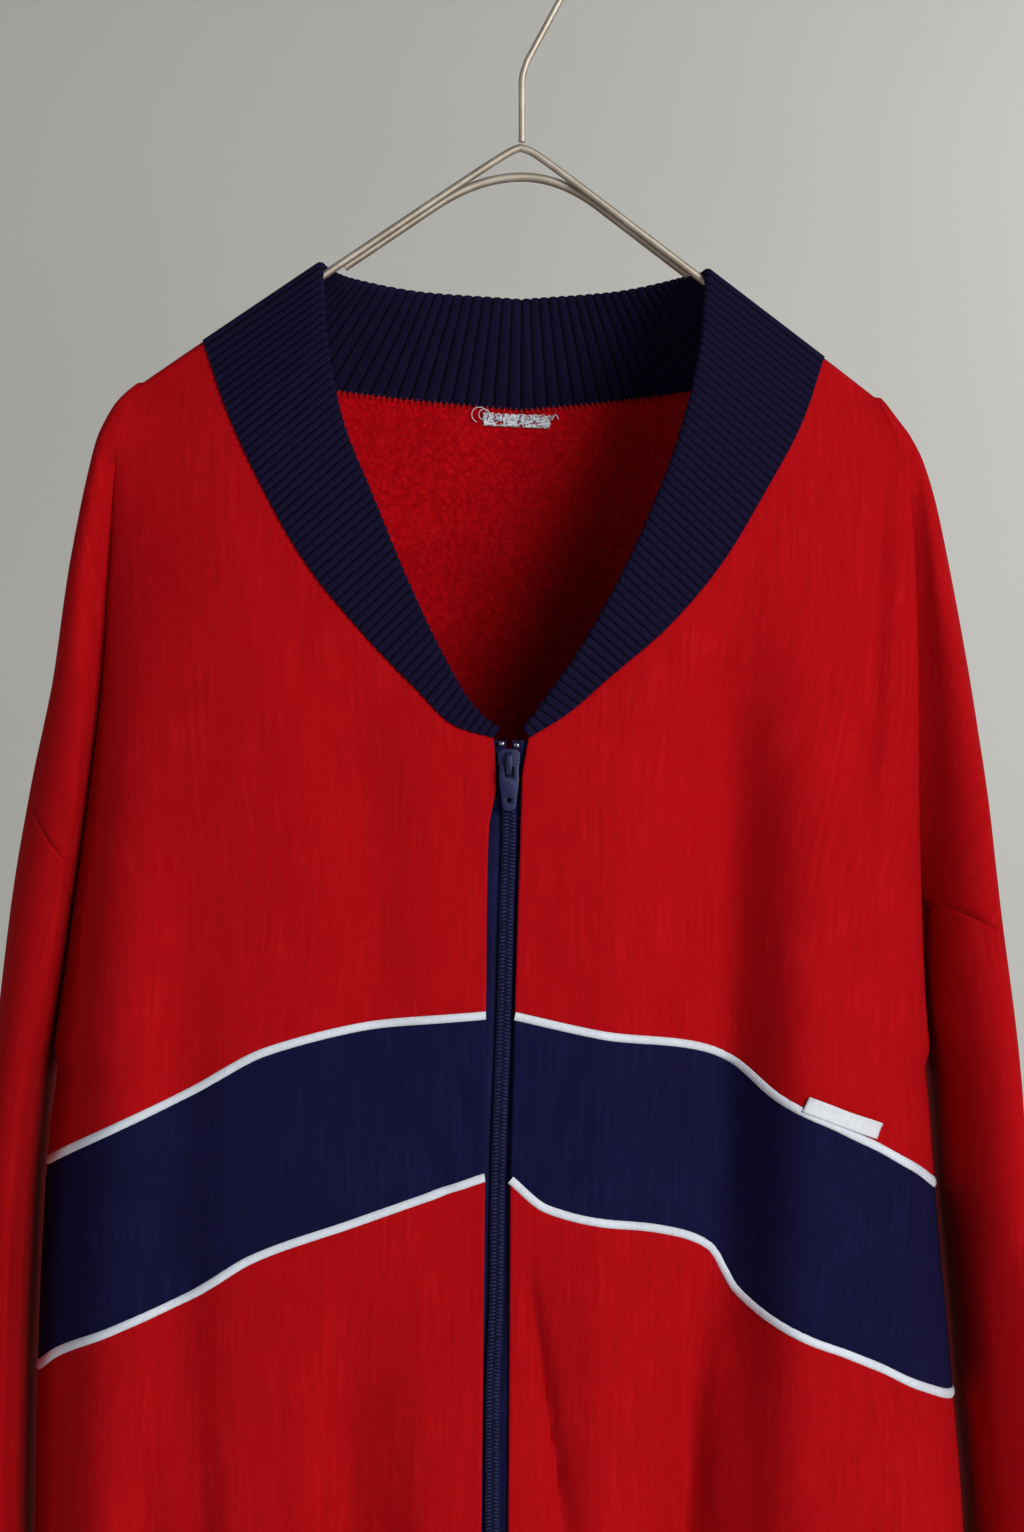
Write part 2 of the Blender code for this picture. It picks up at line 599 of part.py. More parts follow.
def back_panel(sides, red):
    patches = []
    for side in sides:
        down = heights_down(side, BODY_HEM_SEAM + SEAM_HALF_GAP, BACK_SIDE_DOWN)
        corner = len(BACK_NECK_ROWS) - 1

        def inner_edge(i, side=side, down=down):
            if i <= corner:
                x, z = back_neck_row(side, BACK_NECK_ROWS[i])
                return x, z - (2 * SEAM_HALF_GAP if i else 0.0)
            return 0.0, mix(back_neck_row(side, 1)[1], down[-1], (i - corner) / (len(down) - 1 - corner))

        body = close_seams(side, BACK, body_grid(side, BACK, inner_edge, down, BACK_ACROSS))
        lobe = lobe_grid(side, BACK, down[: len(UPPER_DOWN)])
        for i in range(len(UPPER_DOWN)):
            body[i][-1] = lobe[i][0]
        for column in range(len(lobe[0])):
            point, normal = lobe[0][column]
            lobe[0][column] = (Vector((point.x, BACK * SEAM_HALF_GAP * MM, point.z)), normal)
        body[0][-1] = lobe[0][0]
        patches += [body, lobe]
    wall("back", patches, CLOTH_HALF, CLOTH_HALF, red)


def sleeve_columns(side):
    """Where a sleeve's columns start on the armhole seam: (angle, height, the face if in the fold)."""
    def half(face):
        lobe = []
        for share in reversed(LOBE_ACROSS[1:-1]):
            z = side.armhole(share)
            lobe.append((mix(side.fold_angle(face, z), 0.0, share), z - SEAM_HALF_GAP, None))
        fold = []
        for share in (0, 0.35, 0.7):
            z = mix(SEAM_LEAVES_FOLD, ARMPIT, share) - SEAM_HALF_GAP
            fold.append((side.fold_angle(face, z), z, face))
        return lobe + fold
    outline = [(0.0, side.armhole(1) - SEAM_HALF_GAP, None)]
    underarm = [(math.pi, ARMPIT - 2.0, None)]
    return outline + half(FRONT) + underarm + list(reversed(half(BACK)))


def sleeve(side, red):
    rows = []
    for share in SLEEVE_DOWN:
        row = []
        for angle, top, face in sleeve_columns(side):
            z = mix(top, CUFF_SEAM + SEAM_HALF_GAP, share)
            if share == 0 and face:
                row.append(side.on_fold(face, z, x_shift=1.2))
            else:
                row.append(side.on_sleeve(angle, z))
        row.append(row[0])
        rows.append(row)
    wall("sleeve_" + side.name, [rows], CLOTH_HALF, CLOTH_HALF, red)


def neck_seam(side, face, share):
    """The edge of the body's panel along the neck: straight from row to row of its grid, with its normal."""
    shares, row = (NECK_ROWS, neck_row) if face == FRONT else (BACK_NECK_ROWS, back_neck_row)
    i = min(max(bisect.bisect_right(shares, share), 1), len(shares) - 1)
    start, end = side.on_body(face, *row(side, shares[i - 1])), side.on_body(face, *row(side, shares[i]))
    t = (share - shares[i - 1]) / (shares[i] - shares[i - 1])
    return start[0].lerp(end[0], t), start[1].lerp(end[1], t)


def collar_point(side, face, share, across):
    """A point on the collar, in metres, from its seam (0) to its free edge (1)."""
    seam = neck_seam(side, face, share)[0]
    if face == FRONT:
        seam_x, seam_z = neck_row(side, share)
        x = mix(seam_x, side.neck["edge_x"](share), across)
        z = mix(seam_z, side.neck["edge_z"](share), across)
        smooth_point = side.world((x, side.body_y(FRONT, x, z), z))
        return seam.lerp(smooth_point, min(1.0, across * 3))
    edge_x = side.back_neck["edge_x"](share) * side.edge_x
    start = side.ridge(side.edge_x)
    edge_z = mix(start, BACK_EDGE_LEVEL, smooth(share / 0.3)) - side.back_neck["edge_drop"](share)
    return seam.lerp(side.world((edge_x, side.back_neck["edge_y"](share), edge_z)), across)


def ribbed_wall(name, columns, closed, made_of):
    """A rib-knit wall. Each column is a line of (point, normal). Every other column stands proud."""
    bm = bmesh.new()
    rows = len(columns[0])
    outer = []
    for i, column in enumerate(columns):
        lift = (RIB_HALF + (RIB_RAISE if i % 2 else 0.0)) * MM
        outer.append([bm.verts.new(point + normal * lift) for point, normal in column])
    plain = columns[:: 2 * RIBS_TO_INNER_FACE]
    inner = [[bm.verts.new(point - normal * RIB_HALF * MM) for point, normal in column] for column in plain]
    if closed:
        outer.append(outer[0])
        inner.append(inner[0])
    for line in (outer, inner):
        for left, right in zip(line, line[1:]):
            for j in range(rows - 1):
                bm.faces.new((left[j], right[j], right[j + 1], left[j + 1]))
    span = 2 * RIBS_TO_INNER_FACE
    for j in (0, rows - 1):
        for k in range(len(inner) - 1):
            near, far = inner[k][j], inner[k + 1][j]
            for step in range(span):
                i = k * span + step
                bm.faces.new((outer[i][j], outer[i + 1][j], near if step < span / 2 else far))
            bm.faces.new((outer[k * span + span // 2][j], far, near))
    if not closed:
        for i, k in ((0, 0), (-1, -1)):
            for j in range(rows - 1):
                bm.faces.new((outer[i][j], outer[i][j + 1], inner[k][j + 1], inner[k][j]))
    bmesh.ops.triangulate(bm, faces=bm.faces)
    return finish_mesh(name, bm, made_of, smooth_angle=30)


def collar(sides, navy):
    left, right = sides
    route = [(left, FRONT, 1 - i / (2 * FRONT_RIBS)) for i in range(2 * FRONT_RIBS)]
    route += [(left, BACK, i / (2 * BACK_NECK_RIBS)) for i in range(2 * BACK_NECK_RIBS)]
    route += [(right, BACK, 1 - i / (2 * BACK_NECK_RIBS)) for i in range(2 * BACK_NECK_RIBS)]
    route += [(right, FRONT, i / (2 * FRONT_RIBS)) for i in range(2 * FRONT_RIBS + 1)]
    points = []
    for side, face, share in route:
        line = [collar_point(side, face, share, across) for across in (0, 0.5, 1)]
        width = (line[2] - line[0]).length
        line[0] = line[0].lerp(line[2], min(0.3, COLLAR_CLEAR * MM / width))
        points.append(line)
    columns = []
    for i, (side, face, share) in enumerate(route):
        ahead, behind = points[min(i + 1, len(points) - 1)], points[max(i - 1, 0)]
        across = points[i][2] - points[i][0]
        normals = [(ahead[j] - behind[j]).cross(across).normalized() for j in range(3)]
        normals[0] = neck_seam(side, face, share)[1]
        flip = 1 if normals[1].dot(normals[0]) > 0 else -1
        columns.append([(points[i][0], normals[0])] + [(points[i][j], normals[j] * flip) for j in (1, 2)])
    ribbed_wall("collar", columns, False, navy)


def body_ring(sides, z):
    """The hem's plan from the left zip edge round the back to the right one, as a dense line of points."""
    left, right = sides
    line = []
    inwards = [math.cos(math.pi / 2 * i / RING_STEPS) for i in range(RING_STEPS + 1)]
    outwards = inwards[::-1]
    for side, face, shares in (
        (left, FRONT, outwards), (left, BACK, inwards), (right, BACK, outwards), (right, FRONT, inwards),
    ):
        start = side.centre_edge(z) if face == FRONT else 0.0
        for share in shares:
            x = mix(start, side.side_x(z), share)
            line.append(side.world((x, side.body_y(face, x, z), z)))
    return line


def sleeve_outline(side, z):
    """Once round a sleeve from its inner side past the front, as a dense line of points."""
    steps = 4 * RING_STEPS
    return [side.on_sleeve(math.pi * (1 - 2 * i / steps), z)[0] for i in range(steps + 1)]


def even(line, count):
    """count + 1 points evenly spaced along a line."""
    lengths = [0.0]
    for a, b in zip(line, line[1:]):
        lengths.append(lengths[-1] + (b - a).length)
    points = []
    for i in range(count + 1):
        target = lengths[-1] * i / count
        k = min(max(bisect.bisect_right(lengths, target), 1), len(lengths) - 1)
        span = max(lengths[k] - lengths[k - 1], 1e-9)
        points.append(line[k - 1].lerp(line[k], (target - lengths[k - 1]) / span))
    return points


def ring_columns(rings, closed, turn):
    """Columns of (point, normal) down a stack of level rings. turn is 1 for rings that run anticlockwise."""
    count = len(rings[0])
    columns = []
    for i in range(count):
        column = []
        for ring in rings:
            ahead = ring[(i + 1) % count] if closed else ring[min(i + 1, count - 1)]
            behind = ring[i - 1] if closed else ring[max(i - 1, 0)]
            along = (ahead - behind) * turn
            column.append((ring[i], Vector((along.y, -along.x, 0)).normalized()))
        columns.append(column)
    return columns


def hem_band(sides, navy):
    lines = [body_ring(sides, z) for z in (BODY_HEM_SEAM - SEAM_HALF_GAP, HEM_BOTTOM)]
    length = sum((b - a).length for a, b in zip(lines[0], lines[0][1:])) / MM
    blocks = round(length / HEM_RIB_PITCH / RIBS_TO_INNER_FACE)
    rings = [even(line, blocks * RIBS_TO_INNER_FACE * 2) for line in lines]
    ribbed_wall("hem_band", ring_columns(rings, False, -1), False, navy)


def cuff(side, navy):
    lines = [sleeve_outline(side, z) for z in (CUFF_SEAM - SEAM_HALF_GAP, CUFF_BOTTOM)]
    rings = [even(line, 2 * CUFF_RIBS)[:-1] for line in lines]
    ribbed_wall("cuff_" + side.name, ring_columns(rings, True, side.sign), True, navy)


def zip_y(z):
    """The cloth's middle surface at the zip's line."""
    return RIGHT.body_y(FRONT, LEFT.centre["zip_x"](z), z)


def zip_strip(name, cloth_y, x_in, x_out, y_front, y_back, heights, made_of):
    """A strip beside or over the zip's line. cloth_y(x, z) is the cloth it lies on, with x to the right."""
    rows = []
    for z in heights:
        row = []
        for share in ZIP_ACROSS:
            x = LEFT.centre["zip_x"](z) + mix(x_in, x_out, share)
            row.append((Vector((x, cloth_y(x, z) + (y_front + y_back) / 2, z)) * MM, Vector((0, -1, 0))))
        rows.append(row)
    half = (y_back - y_front) / 2
    wall(name, [rows], half, half, made_of)


def zip_tapes_and_chain(tape):
    front, back = TAPE_BEHIND - TAPE_HALF, TAPE_BEHIND + TAPE_HALF
    for side in SIDES:
        zip_strip(
            "zip_tape_" + side.name,
            lambda x, z, side=side: side.body_y(FRONT, side.sign * x, z),
            side.sign * TAPE_INNER, side.sign * TAPE_OUTER, front, back, ZIP_HEIGHTS, tape,
        )
    top = SLIDER_TOP - CHAIN_BELOW_SLIDER_TOP
    heights = [mix(top, CHAIN_BOTTOM, i / CHAIN_ROWS) for i in range(CHAIN_ROWS + 1)]
    zip_strip(
        "zip_chain", lambda x, z: zip_y(z),
        -CHAIN_HALF_WIDTH, CHAIN_HALF_WIDTH, CHAIN_FRONT, CHAIN_BACK, heights, tape,
    )


def box(name, low, high, made_of, bevel=0.0):
    bm = bmesh.new()
    bmesh.ops.create_cube(bm, size=1)
    size = Vector(high) - Vector(low)
    bmesh.ops.scale(bm, vec=size * MM, verts=bm.verts)
    bmesh.ops.translate(bm, vec=(Vector(low) + Vector(high)) / 2 * MM, verts=bm.verts)
    thing = finish_mesh(name, bm, made_of)
    if bevel:
        rounding = thing.modifiers.new("rounding", "BEVEL")
        rounding.width = bevel * MM
        rounding.segments = 2
    return thing


def join_to(base, extra):
    """base takes in extra by a Boolean union."""
    union = base.modifiers.new("union_" + extra.name, "BOOLEAN")
    union.operation = "UNION"
    union.object = extra
    extra.hide_render = True
    extra.display_type = "WIRE"


def cut_by(base, cutter):
    cut = base.modifiers.new("cut_" + cutter.name, "BOOLEAN")
    cut.operation = "DIFFERENCE"
    cut.object = cutter
    cutter.hide_render = True
    cutter.display_type = "WIRE"


def zip_hardware(enamel, silver):
    x = LEFT.centre["zip_x"](SLIDER_TOP)
    cloth = zip_y((SLIDER_TOP + SLIDER_BOTTOM) / 2)
    plate_front, plate_back = cloth + SLIDER_PLATE[0], cloth + SLIDER_PLATE[1]
    under_front, under_back = cloth + SLIDER_UNDER[0], cloth + SLIDER_UNDER[1]
    half, narrow = SLIDER_HALF_WIDTH, BRIDGE_HALF_WIDTH
    post_top, post_bottom = SLIDER_TOP - 0.2, SLIDER_TOP - 2.4
    low, high = BRIDGE_BOTTOM, BRIDGE_TOP

    def block(name, half_width, front, back, bottom, top, bevel=0.0):
        return box(name, (x - half_width, front, bottom), (x + half_width, back, top), enamel, bevel)

    slider = block("zip_slider", half, plate_front, plate_back, SLIDER_BOTTOM, SLIDER_TOP, 0.4)
    under = block("under_plate", half, under_front, under_back, SLIDER_BOTTOM, SLIDER_TOP)
    post = block("post", narrow, plate_back - LAP, under_front + LAP, post_bottom, post_top)
    bridge = block("bridge", narrow, plate_front - BRIDGE_PROUD, plate_front + LAP, low, high, 0.3)
    tunnel_front = plate_front - BRIDGE_PROUD + BRIDGE_WALL
    tunnel = block("tunnel", half, tunnel_front, plate_front + 0.02, low + BRIDGE_WALL, high - BRIDGE_WALL)
    cut_by(bridge, tunnel)
    for extra in (under, post, bridge):
        join_to(slider, extra)

    pivot = bpy.data.objects.new("pull_tab_axis", None)
    pivot.location = Vector((x, plate_front - TAB_AXIS_PROUD, TAB_AXIS_HEIGHT)) * MM
    bpy.context.scene.collection.objects.link(pivot)
    pull_tab(pivot, enamel)

    for name, offset, drop in (("zip_stop_left", -STOP_OFFSET, 0.0), ("zip_stop_right", STOP_OFFSET, 0.6)):
        top = ZIP_TOP - 0.5 - drop
        corner = (x + offset - STOP_HALF_WIDTH, cloth - 1.4, top - 1.9)
        box(name, corner, (x + offset + STOP_HALF_WIDTH, cloth + 1.1, top), silver, 0.35)

    x = LEFT.centre["zip_x"](CHAIN_BOTTOM)
    cloth = zip_y(CHAIN_BOTTOM - ZIP_BOX_HEIGHT / 2)
    top, half = CHAIN_BOTTOM - 2 * SEAM_HALF_GAP, ZIP_BOX_HALF_WIDTH
    box("zip_box", (x - half, cloth - 1.6, top - ZIP_BOX_HEIGHT), (x + half, cloth + 1.1, top), enamel, 0.4)


def pull_tab(pivot, enamel):
    """The tab hangs from its bar, which lies on the pivot."""
    bm = bmesh.new()
    outline = [bm.verts.new((half * MM, TAB_HALF * MM, z * MM)) for z, half in TAB_WIDTHS]
    outline += [bm.verts.new((-half * MM, TAB_HALF * MM, z * MM)) for z, half in reversed(TAB_WIDTHS)]
    face = bm.faces.new(outline)
    made = bmesh.ops.extrude_face_region(bm, geom=[face])["geom"]
    moved = [item for item in made if isinstance(item, bmesh.types.BMVert)]
    bmesh.ops.translate(bm, vec=(0, -2 * TAB_HALF * MM, 0), verts=moved)
    tab = finish_mesh("pull_tab", bm, enamel)
    tab.parent = pivot
    eye = box("tab_eye", *TAB_EYE, enamel)
    eye.parent = pivot
    cut_by(tab, eye)


def tube(name, points, radius, made_of, roundness):
    """A round wire or rod through points, with flat ends."""
    curve = bpy.data.curves.new(name, "CURVE")
    curve.dimensions = "3D"
    curve.bevel_depth = radius * MM
    curve.bevel_resolution = roundness
    curve.use_fill_caps = True
    spline = curve.splines.new("POLY")
    spline.points.add(len(points) - 1)
    for place, point in zip(spline.points, points):
        place.co = (*(Vector(point) * MM), 1.0)
    add_object(name, curve, made_of)


def arch_half(side):
    """The arch from its top to one end: a curve that becomes tangent to the arm, and then its line."""
    slope = ROD_SLOPE[side.name]
    rise = ROD_TOP - ARCH_UNDER - ARCH_TOP
    meets = 2 * rise / slope
    points = []
    for i in range(ARCH_STEPS[0] + 1):
        x = meets * i / ARCH_STEPS[0]
        points.append((side.sign * x, ARCH_BEHIND, ARCH_TOP - slope * x * x / (2 * meets)))
    for i in range(1, ARCH_STEPS[1] + 1):
        x = mix(meets, ARCH_END_X[side.name], i / ARCH_STEPS[1])
        points.append((side.sign * x, ARCH_BEHIND, ARCH_TOP + rise - slope * x))
    return points


def hanger(nickel):
    for side in SIDES:
        slope = ROD_SLOPE[side.name]
        xs = [mix(0.25, ARM_TIP_X[side.name], share) for share in ARM_SHARES]
        points = [(side.sign * x, 0, ROD_TOP - slope * math.hypot(x, ROD_BEND)) for x in xs]
        tube("hanger_arm_" + side.name, points, ARM_RADIUS, nickel, 2)

    left, right = (arch_half(side) for side in SIDES)
    tube("hanger_arch", left[:0:-1] + right, ARCH_RADIUS, nickel, 2)

    # the shank, a lean to the loop's side and the loop, which starts where that line touches it
    loop_z = -HOOK_LOOP_RADIUS + HOOK_RADIUS
    rise = loop_z - HOOK_NECK
    lean = math.asin(HOOK_LOOP_RADIUS / rise)
    straight = rise * math.cos(lean)
    points = [(0, 0, HOOK_FOOT), (0, 0, HOOK_NECK - 3), (0.4, 0, HOOK_NECK)]
    for reach in (4.5, straight * 0.5, straight * 0.97):
        points.append((reach * math.sin(lean), 0, HOOK_NECK + reach * math.cos(lean)))
    end = math.radians(HOOK_END_ANGLE)
    for i in range(HOOK_STEPS + 1):
        angle = mix(-lean, end, i / HOOK_STEPS)
        points.append((HOOK_LOOP_RADIUS * math.cos(angle), 0, loop_z + HOOK_LOOP_RADIUS * math.sin(angle)))
    tube("hanger_hook", points, HOOK_RADIUS, nickel, 1)


def label_strip(name, side, face, start, end, half_width, lift, made_of):
    """A small flat strip along a line on the body."""
    rows = []
    along = Vector((end[0] - start[0], end[1] - start[1])).normalized()
    for across in (1, -1):
        row = []
        for share in ZIP_ACROSS:
            x = mix(start[0], end[0], share) - along.y * half_width * across
            z = mix(start[1], end[1], share) + along.x * half_width * across
            row.append(side.on_body(face, x, z, lift))
        rows.append(row)
    wall(name, [rows], 0.3, 0.3, made_of)


def build():
    for thing in list(bpy.data.objects):
        bpy.data.objects.remove(thing, do_unlink=True)
    red = material("red_fleece", RED, 0.85)
    navy = material("navy_fleece", NAVY, 0.85)
    rib = material("navy_rib", RIB_NAVY, 0.9)
    white = material("white_piping", WHITE, 0.7)
    tape = material("navy_tape", NAVY, 0.7)
    enamel = material("navy_enamel", ENAMEL, 0.35, 0.3)
    silver = material("silver", SILVER, 0.25, 1.0)
    nickel = material("nickel", NICKEL, 0.35, 1.0)

    for side in SIDES:
        front_upper(side, red)
        front_below(side, red, navy, white)
        sleeve(side, red)
        cuff(side, rib)
    back_panel(SIDES, red)
    collar(SIDES, rib)
    hem_band(SIDES, rib)

    zip_tapes_and_chain(tape)
    zip_hardware(enamel, silver)
    label_strip("band_label", RIGHT, FRONT, *BAND_LABEL, PIPING_PROUD + 0.9, white)
    label_strip("neck_label", LEFT, BACK, *NECK_LABEL, -(CLOTH_HALF + 0.7), white)
    hanger(nickel)


LEFT = Side("left", -1, LEFT_SECTIONS, LEFT_NECK, LEFT_PIPING, LEFT_FOLDS)
RIGHT = Side("right", 1, RIGHT_SECTIONS, RIGHT_NECK, RIGHT_PIPING, RIGHT_FOLDS)
SIDES = (LEFT, RIGHT)

if __name__ == "__main__":
    build()
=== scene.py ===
"""Looks of a zip-up sweatshirt that hangs on a wire hanger: cloth, ribs, piping, zip, labels and hanger.

The tables are in millimetres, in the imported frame: +X is the viewer's right, the front faces -Y, +Z is up and
the origin is the inside top of the hook. On each side x runs outwards from x = 0.
"""

import bisect
import math

import bmesh
import bpy
from bpy.props import FloatProperty, FloatVectorProperty, PointerProperty
from mathutils import Matrix, Vector, noise


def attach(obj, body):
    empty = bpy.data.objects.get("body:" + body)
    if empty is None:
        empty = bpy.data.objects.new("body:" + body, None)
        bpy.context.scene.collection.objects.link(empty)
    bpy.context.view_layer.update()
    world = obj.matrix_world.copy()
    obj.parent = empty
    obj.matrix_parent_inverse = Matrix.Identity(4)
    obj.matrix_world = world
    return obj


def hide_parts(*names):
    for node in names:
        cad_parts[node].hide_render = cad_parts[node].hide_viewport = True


bl_info = {
    "name": "Zip-up sweatshirt",
    "version": (1, 0, 0),
    "blender": (4, 5, 0),
    "location": "3D View > Sidebar > Sweatshirt",
    "description": "Builds the cloth, ribs, zip, labels and hanger of a zip-up sweatshirt",
    "category": "Object",
}

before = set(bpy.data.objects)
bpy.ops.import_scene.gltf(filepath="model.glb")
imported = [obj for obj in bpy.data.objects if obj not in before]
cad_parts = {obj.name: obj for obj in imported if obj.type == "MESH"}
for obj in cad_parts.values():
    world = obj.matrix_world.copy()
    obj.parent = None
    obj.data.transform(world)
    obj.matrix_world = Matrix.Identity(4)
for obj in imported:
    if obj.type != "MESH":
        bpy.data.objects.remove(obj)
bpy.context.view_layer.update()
MM = 0.001

# heights on Z
BODY_HEM_SEAM = -778.0
HEM_BOTTOM = -839.0
CUFF_SEAM = -765.0
CUFF_BOTTOM = -830.0
ARMPIT = -505.0
SEAM_LEAVES_FOLD = -430.0  # where the armhole seam comes out of the fold onto the sleeve
ZIP_TOP = -360.0
SLIDER_TOP, SLIDER_BOTTOM = -363.6, -377.6
CHAIN_BOTTOM = -825.0
TAB_AXIS_HEIGHT = -370.6

# how the cloth falls from the hanger
FRONT, BACK = -1, 1
TENT_HALF_WIDTH = 3.5  # the cloth's bend over the rod
TENT_HEIGHT = 3.0
TENT_FADE = 70.0
SPREAD = {FRONT: 85.0, BACK: 22.0}  # drop in which the cloth reaches its full depth
SQUARENESS = {FRONT: 5.0, BACK: 4.0}  # of the body's corners in plan
FOLD_GROWTH = 0.35  # share of a large fold's length in which it reaches its depth
WRINKLE_ENDS = 0.3  # share of a small fold's length in which each end fades
DENT_ENDS = 0.2  # and of a dent's
# Small folds fade near the rod, the body's side (a share of the width) and the zip.
CALM_DROP, CALM_SIDE, CALM_ZIP = 40.0, 0.12, 10.0

# hanger
ARM_RADIUS = 1.7
ARCH_RADIUS = 2.0
HOOK_RADIUS = 1.5
ROD_TOP = -97.9
ROD_BEND = 4.0
RIDGE_OVER_ROD = 5.3
ARM_TIP_X = {"left": 156.0, "right": 150.0}
ROD_SLOPE = {"left": 0.672, "right": 0.765}
ARCH_TOP = -112.3
ARCH_UNDER = 1.44  # below the arm, where it runs along it
ARCH_END_X = {"left": 78.0, "right": 73.0}
ARCH_BEHIND = 3.8
HOOK_LOOP_RADIUS = 22.0
HOOK_NECK = -66.8
HOOK_FOOT = -98.0
HOOK_END_ANGLE = 215.0

CENTRE_COLUMNS = ("height", "zip_x", "left_edge", "right_edge", "front_depth", "back_depth")
CENTRE = (
    (-359, -5.6, 12.0, 2.5, 46, 56),
    (-377, -5.6, 10.9, -0.4, 46, 56),
    (-397, -5.6, 14.0, -0.8, 46, 56),
    (-426, -6.5, 14.8, -1.8, 46, 56),
    (-475, -7.8, 15.2, -3.2, 46, 56),
    (-542, -10.2, 15.6, -5.0, 46, 56),
    (-592, -11.0, 15.2, -6.0, 46, 55),
    (-633, -12.5, 17.6, -7.2, 46, 54),
    (-688, -12.7, 24.0, -7.4, 46, 53),
    (-740, -12.5, 21.0, -7.0, 45, 52),
    (-778, -12.0, 18.0, -6.5, 44, 51),
    (-839, -11.5, 17.5, -6.0, 40, 47),
)

# The body's side, fold_x, meets the sleeve's inner side, inner_x, in a fold above the armpit.
SECTION_COLUMNS = (
    "height", "fold_x", "inner_x", "outline_x", "front_fold", "back_fold",
    "sleeve_y", "sleeve_front", "sleeve_back",
)
LEFT_SECTIONS = (
    (-204, 164.0, 165.3, 167.5, 0, 0, 0, 0, 0),
    (-213, 167.2, 169.0, 176.8, -5, 4, 1, -4, 7),
    (-220, 169.0, 171.0, 181.0, -9, 6, 2, -7, 10),
    (-228, 171.0, 173.0, 184.8, -11, 8, 3, -9, 13),
    (-240, 173.5, 175.5, 188.0, -11, 10, 4, -11, 18),
    (-280, 176.5, 178.8, 196.4, -8, 16, 8, -15, 32),
    (-330, 179.8, 182.3, 204.8, -5, 24, 13, -18, 48),
    (-380, 186.3, 189.0, 216.3, 0, 30, 18, -20, 60),
    (-430, 194.0, 197.0, 225.6, 6, 32, 22, -21, 70),
    (-480, 202.6, 206.0, 231.5, 17, 30, 24, -21, 78),
    (-505, 207.5, 211.3, 234.0, 25, 25, 25, -22, 81),
    (-560, 213.2, 216.7, 239.0, 25, 25, 26, -22, 84),
    (-640, 216.4, 219.9, 245.0, 25, 25, 27, -21, 84),
    (-720, 217.6, 221.1, 248.0, 25, 25, 27, -17, 79),
    (-765, 217.4, 221.0, 247.0, 25, 25, 27, -6, 64),
    (-778, 216.8, 220.8, 246.5, 25, 25, 27, -5, 62),
    (-839, 208.0, 220.4, 246.0, 25, 25, 27, -6, 60),
)
RIGHT_SECTIONS = (
    (-210, 152.5, 153.8, 156.0, 0, 0, 0, 0, 0),
    (-220, 157.0, 159.0, 162.5, -7, 4, 1, -5, 6),
    (-228, 160.0, 162.0, 168.4, -10, 6, 2, -8, 10),
    (-240, 163.0, 165.2, 174.3, -12, 9, 3, -11, 15),
    (-280, 167.0, 169.6, 184.8, -14, 16, 7, -16, 31),
    (-330, 168.5, 171.3, 194.2, -13, 24, 12, -20, 47),
    (-380, 169.5, 172.4, 201.2, -8, 30, 17, -22, 59),
    (-430, 172.1, 175.2, 207.2, 2, 32, 21, -22, 69),
    (-480, 176.2, 179.8, 214.2, 15, 29, 24, -22, 77),
    (-505, 180.5, 184.6, 217.0, 25, 25, 25, -22, 80),
    (-560, 184.9, 188.4, 220.6, 25, 25, 26, -21, 83),
    (-640, 192.0, 195.5, 223.4, 25, 25, 27, -20, 83),
    (-720, 198.2, 201.7, 224.4, 25, 25, 27, -16, 78),
    (-765, 198.8, 202.3, 224.4, 25, 25, 27, -6, 64),
    (-778, 198.2, 202.2, 224.4, 25, 25, 27, -5, 62),
    (-839, 190.0, 202.0, 224.0, 25, 25, 27, -6, 60),
)

# The rib collar: its seam to the body and its free edge, from the shoulder down to the zip's top.
NECK_COLUMNS = ("share", "seam_x", "seam_z", "edge_x", "edge_z")
LEFT_NECK = (
    (0.16, 126.0, -219.0, 85.0, -187.5),
    (0.33, 110.0, -252.5, 77.4, -224.0),
    (0.50, 91.5, -284.5, 63.2, -260.0),
    (0.67, 67.8, -314.0, 48.4, -295.5),
    (0.82, 44.8, -338.0, 33.8, -326.0),
    (0.93, 27.0, -354.6, 21.2, -347.0),
    (1.00, 12.0, -359.0, 10.4, -356.8),
)
RIGHT_NECK = (
    (0.16, 119.3, -224.2, 77.4, -190.0),
    (0.33, 102.0, -255.6, 68.9, -226.6),
    (0.50, 83.1, -286.2, 56.2, -261.6),
    (0.67, 60.0, -313.3, 40.4, -295.6),
    (0.82, 36.0, -334.0, 24.2, -324.0),
    (0.93, 18.0, -349.5, 10.2, -344.0),
    (1.00, 2.5, -359.0, 0.8, -356.4),
)
# and from the shoulder round to the centre back. The x values are shares of the shoulder's.
BACK_NECK_LEVEL = -188.0  # where both shoulders' seams level out behind the rod
BACK_EDGE_LEVEL = -153.0  # and the collar's free edge
BACK_NECK_COLUMNS = ("share", "seam_x", "seam_drop", "edge_x", "edge_y", "edge_drop")
BACK_NECK = (
    (0.00, 1.000, 0.0, 1.000, 0, 0.0),
    (0.08, 0.968, 3.5, 0.980, 7, 0.4),
    (0.30, 0.810, 6.0, 0.860, 24, 0.8),
    (0.60, 0.480, 11.0, 0.520, 39, 3.4),
    (1.00, 0.000, 17.0, 0.000, 45, 5.6),
)

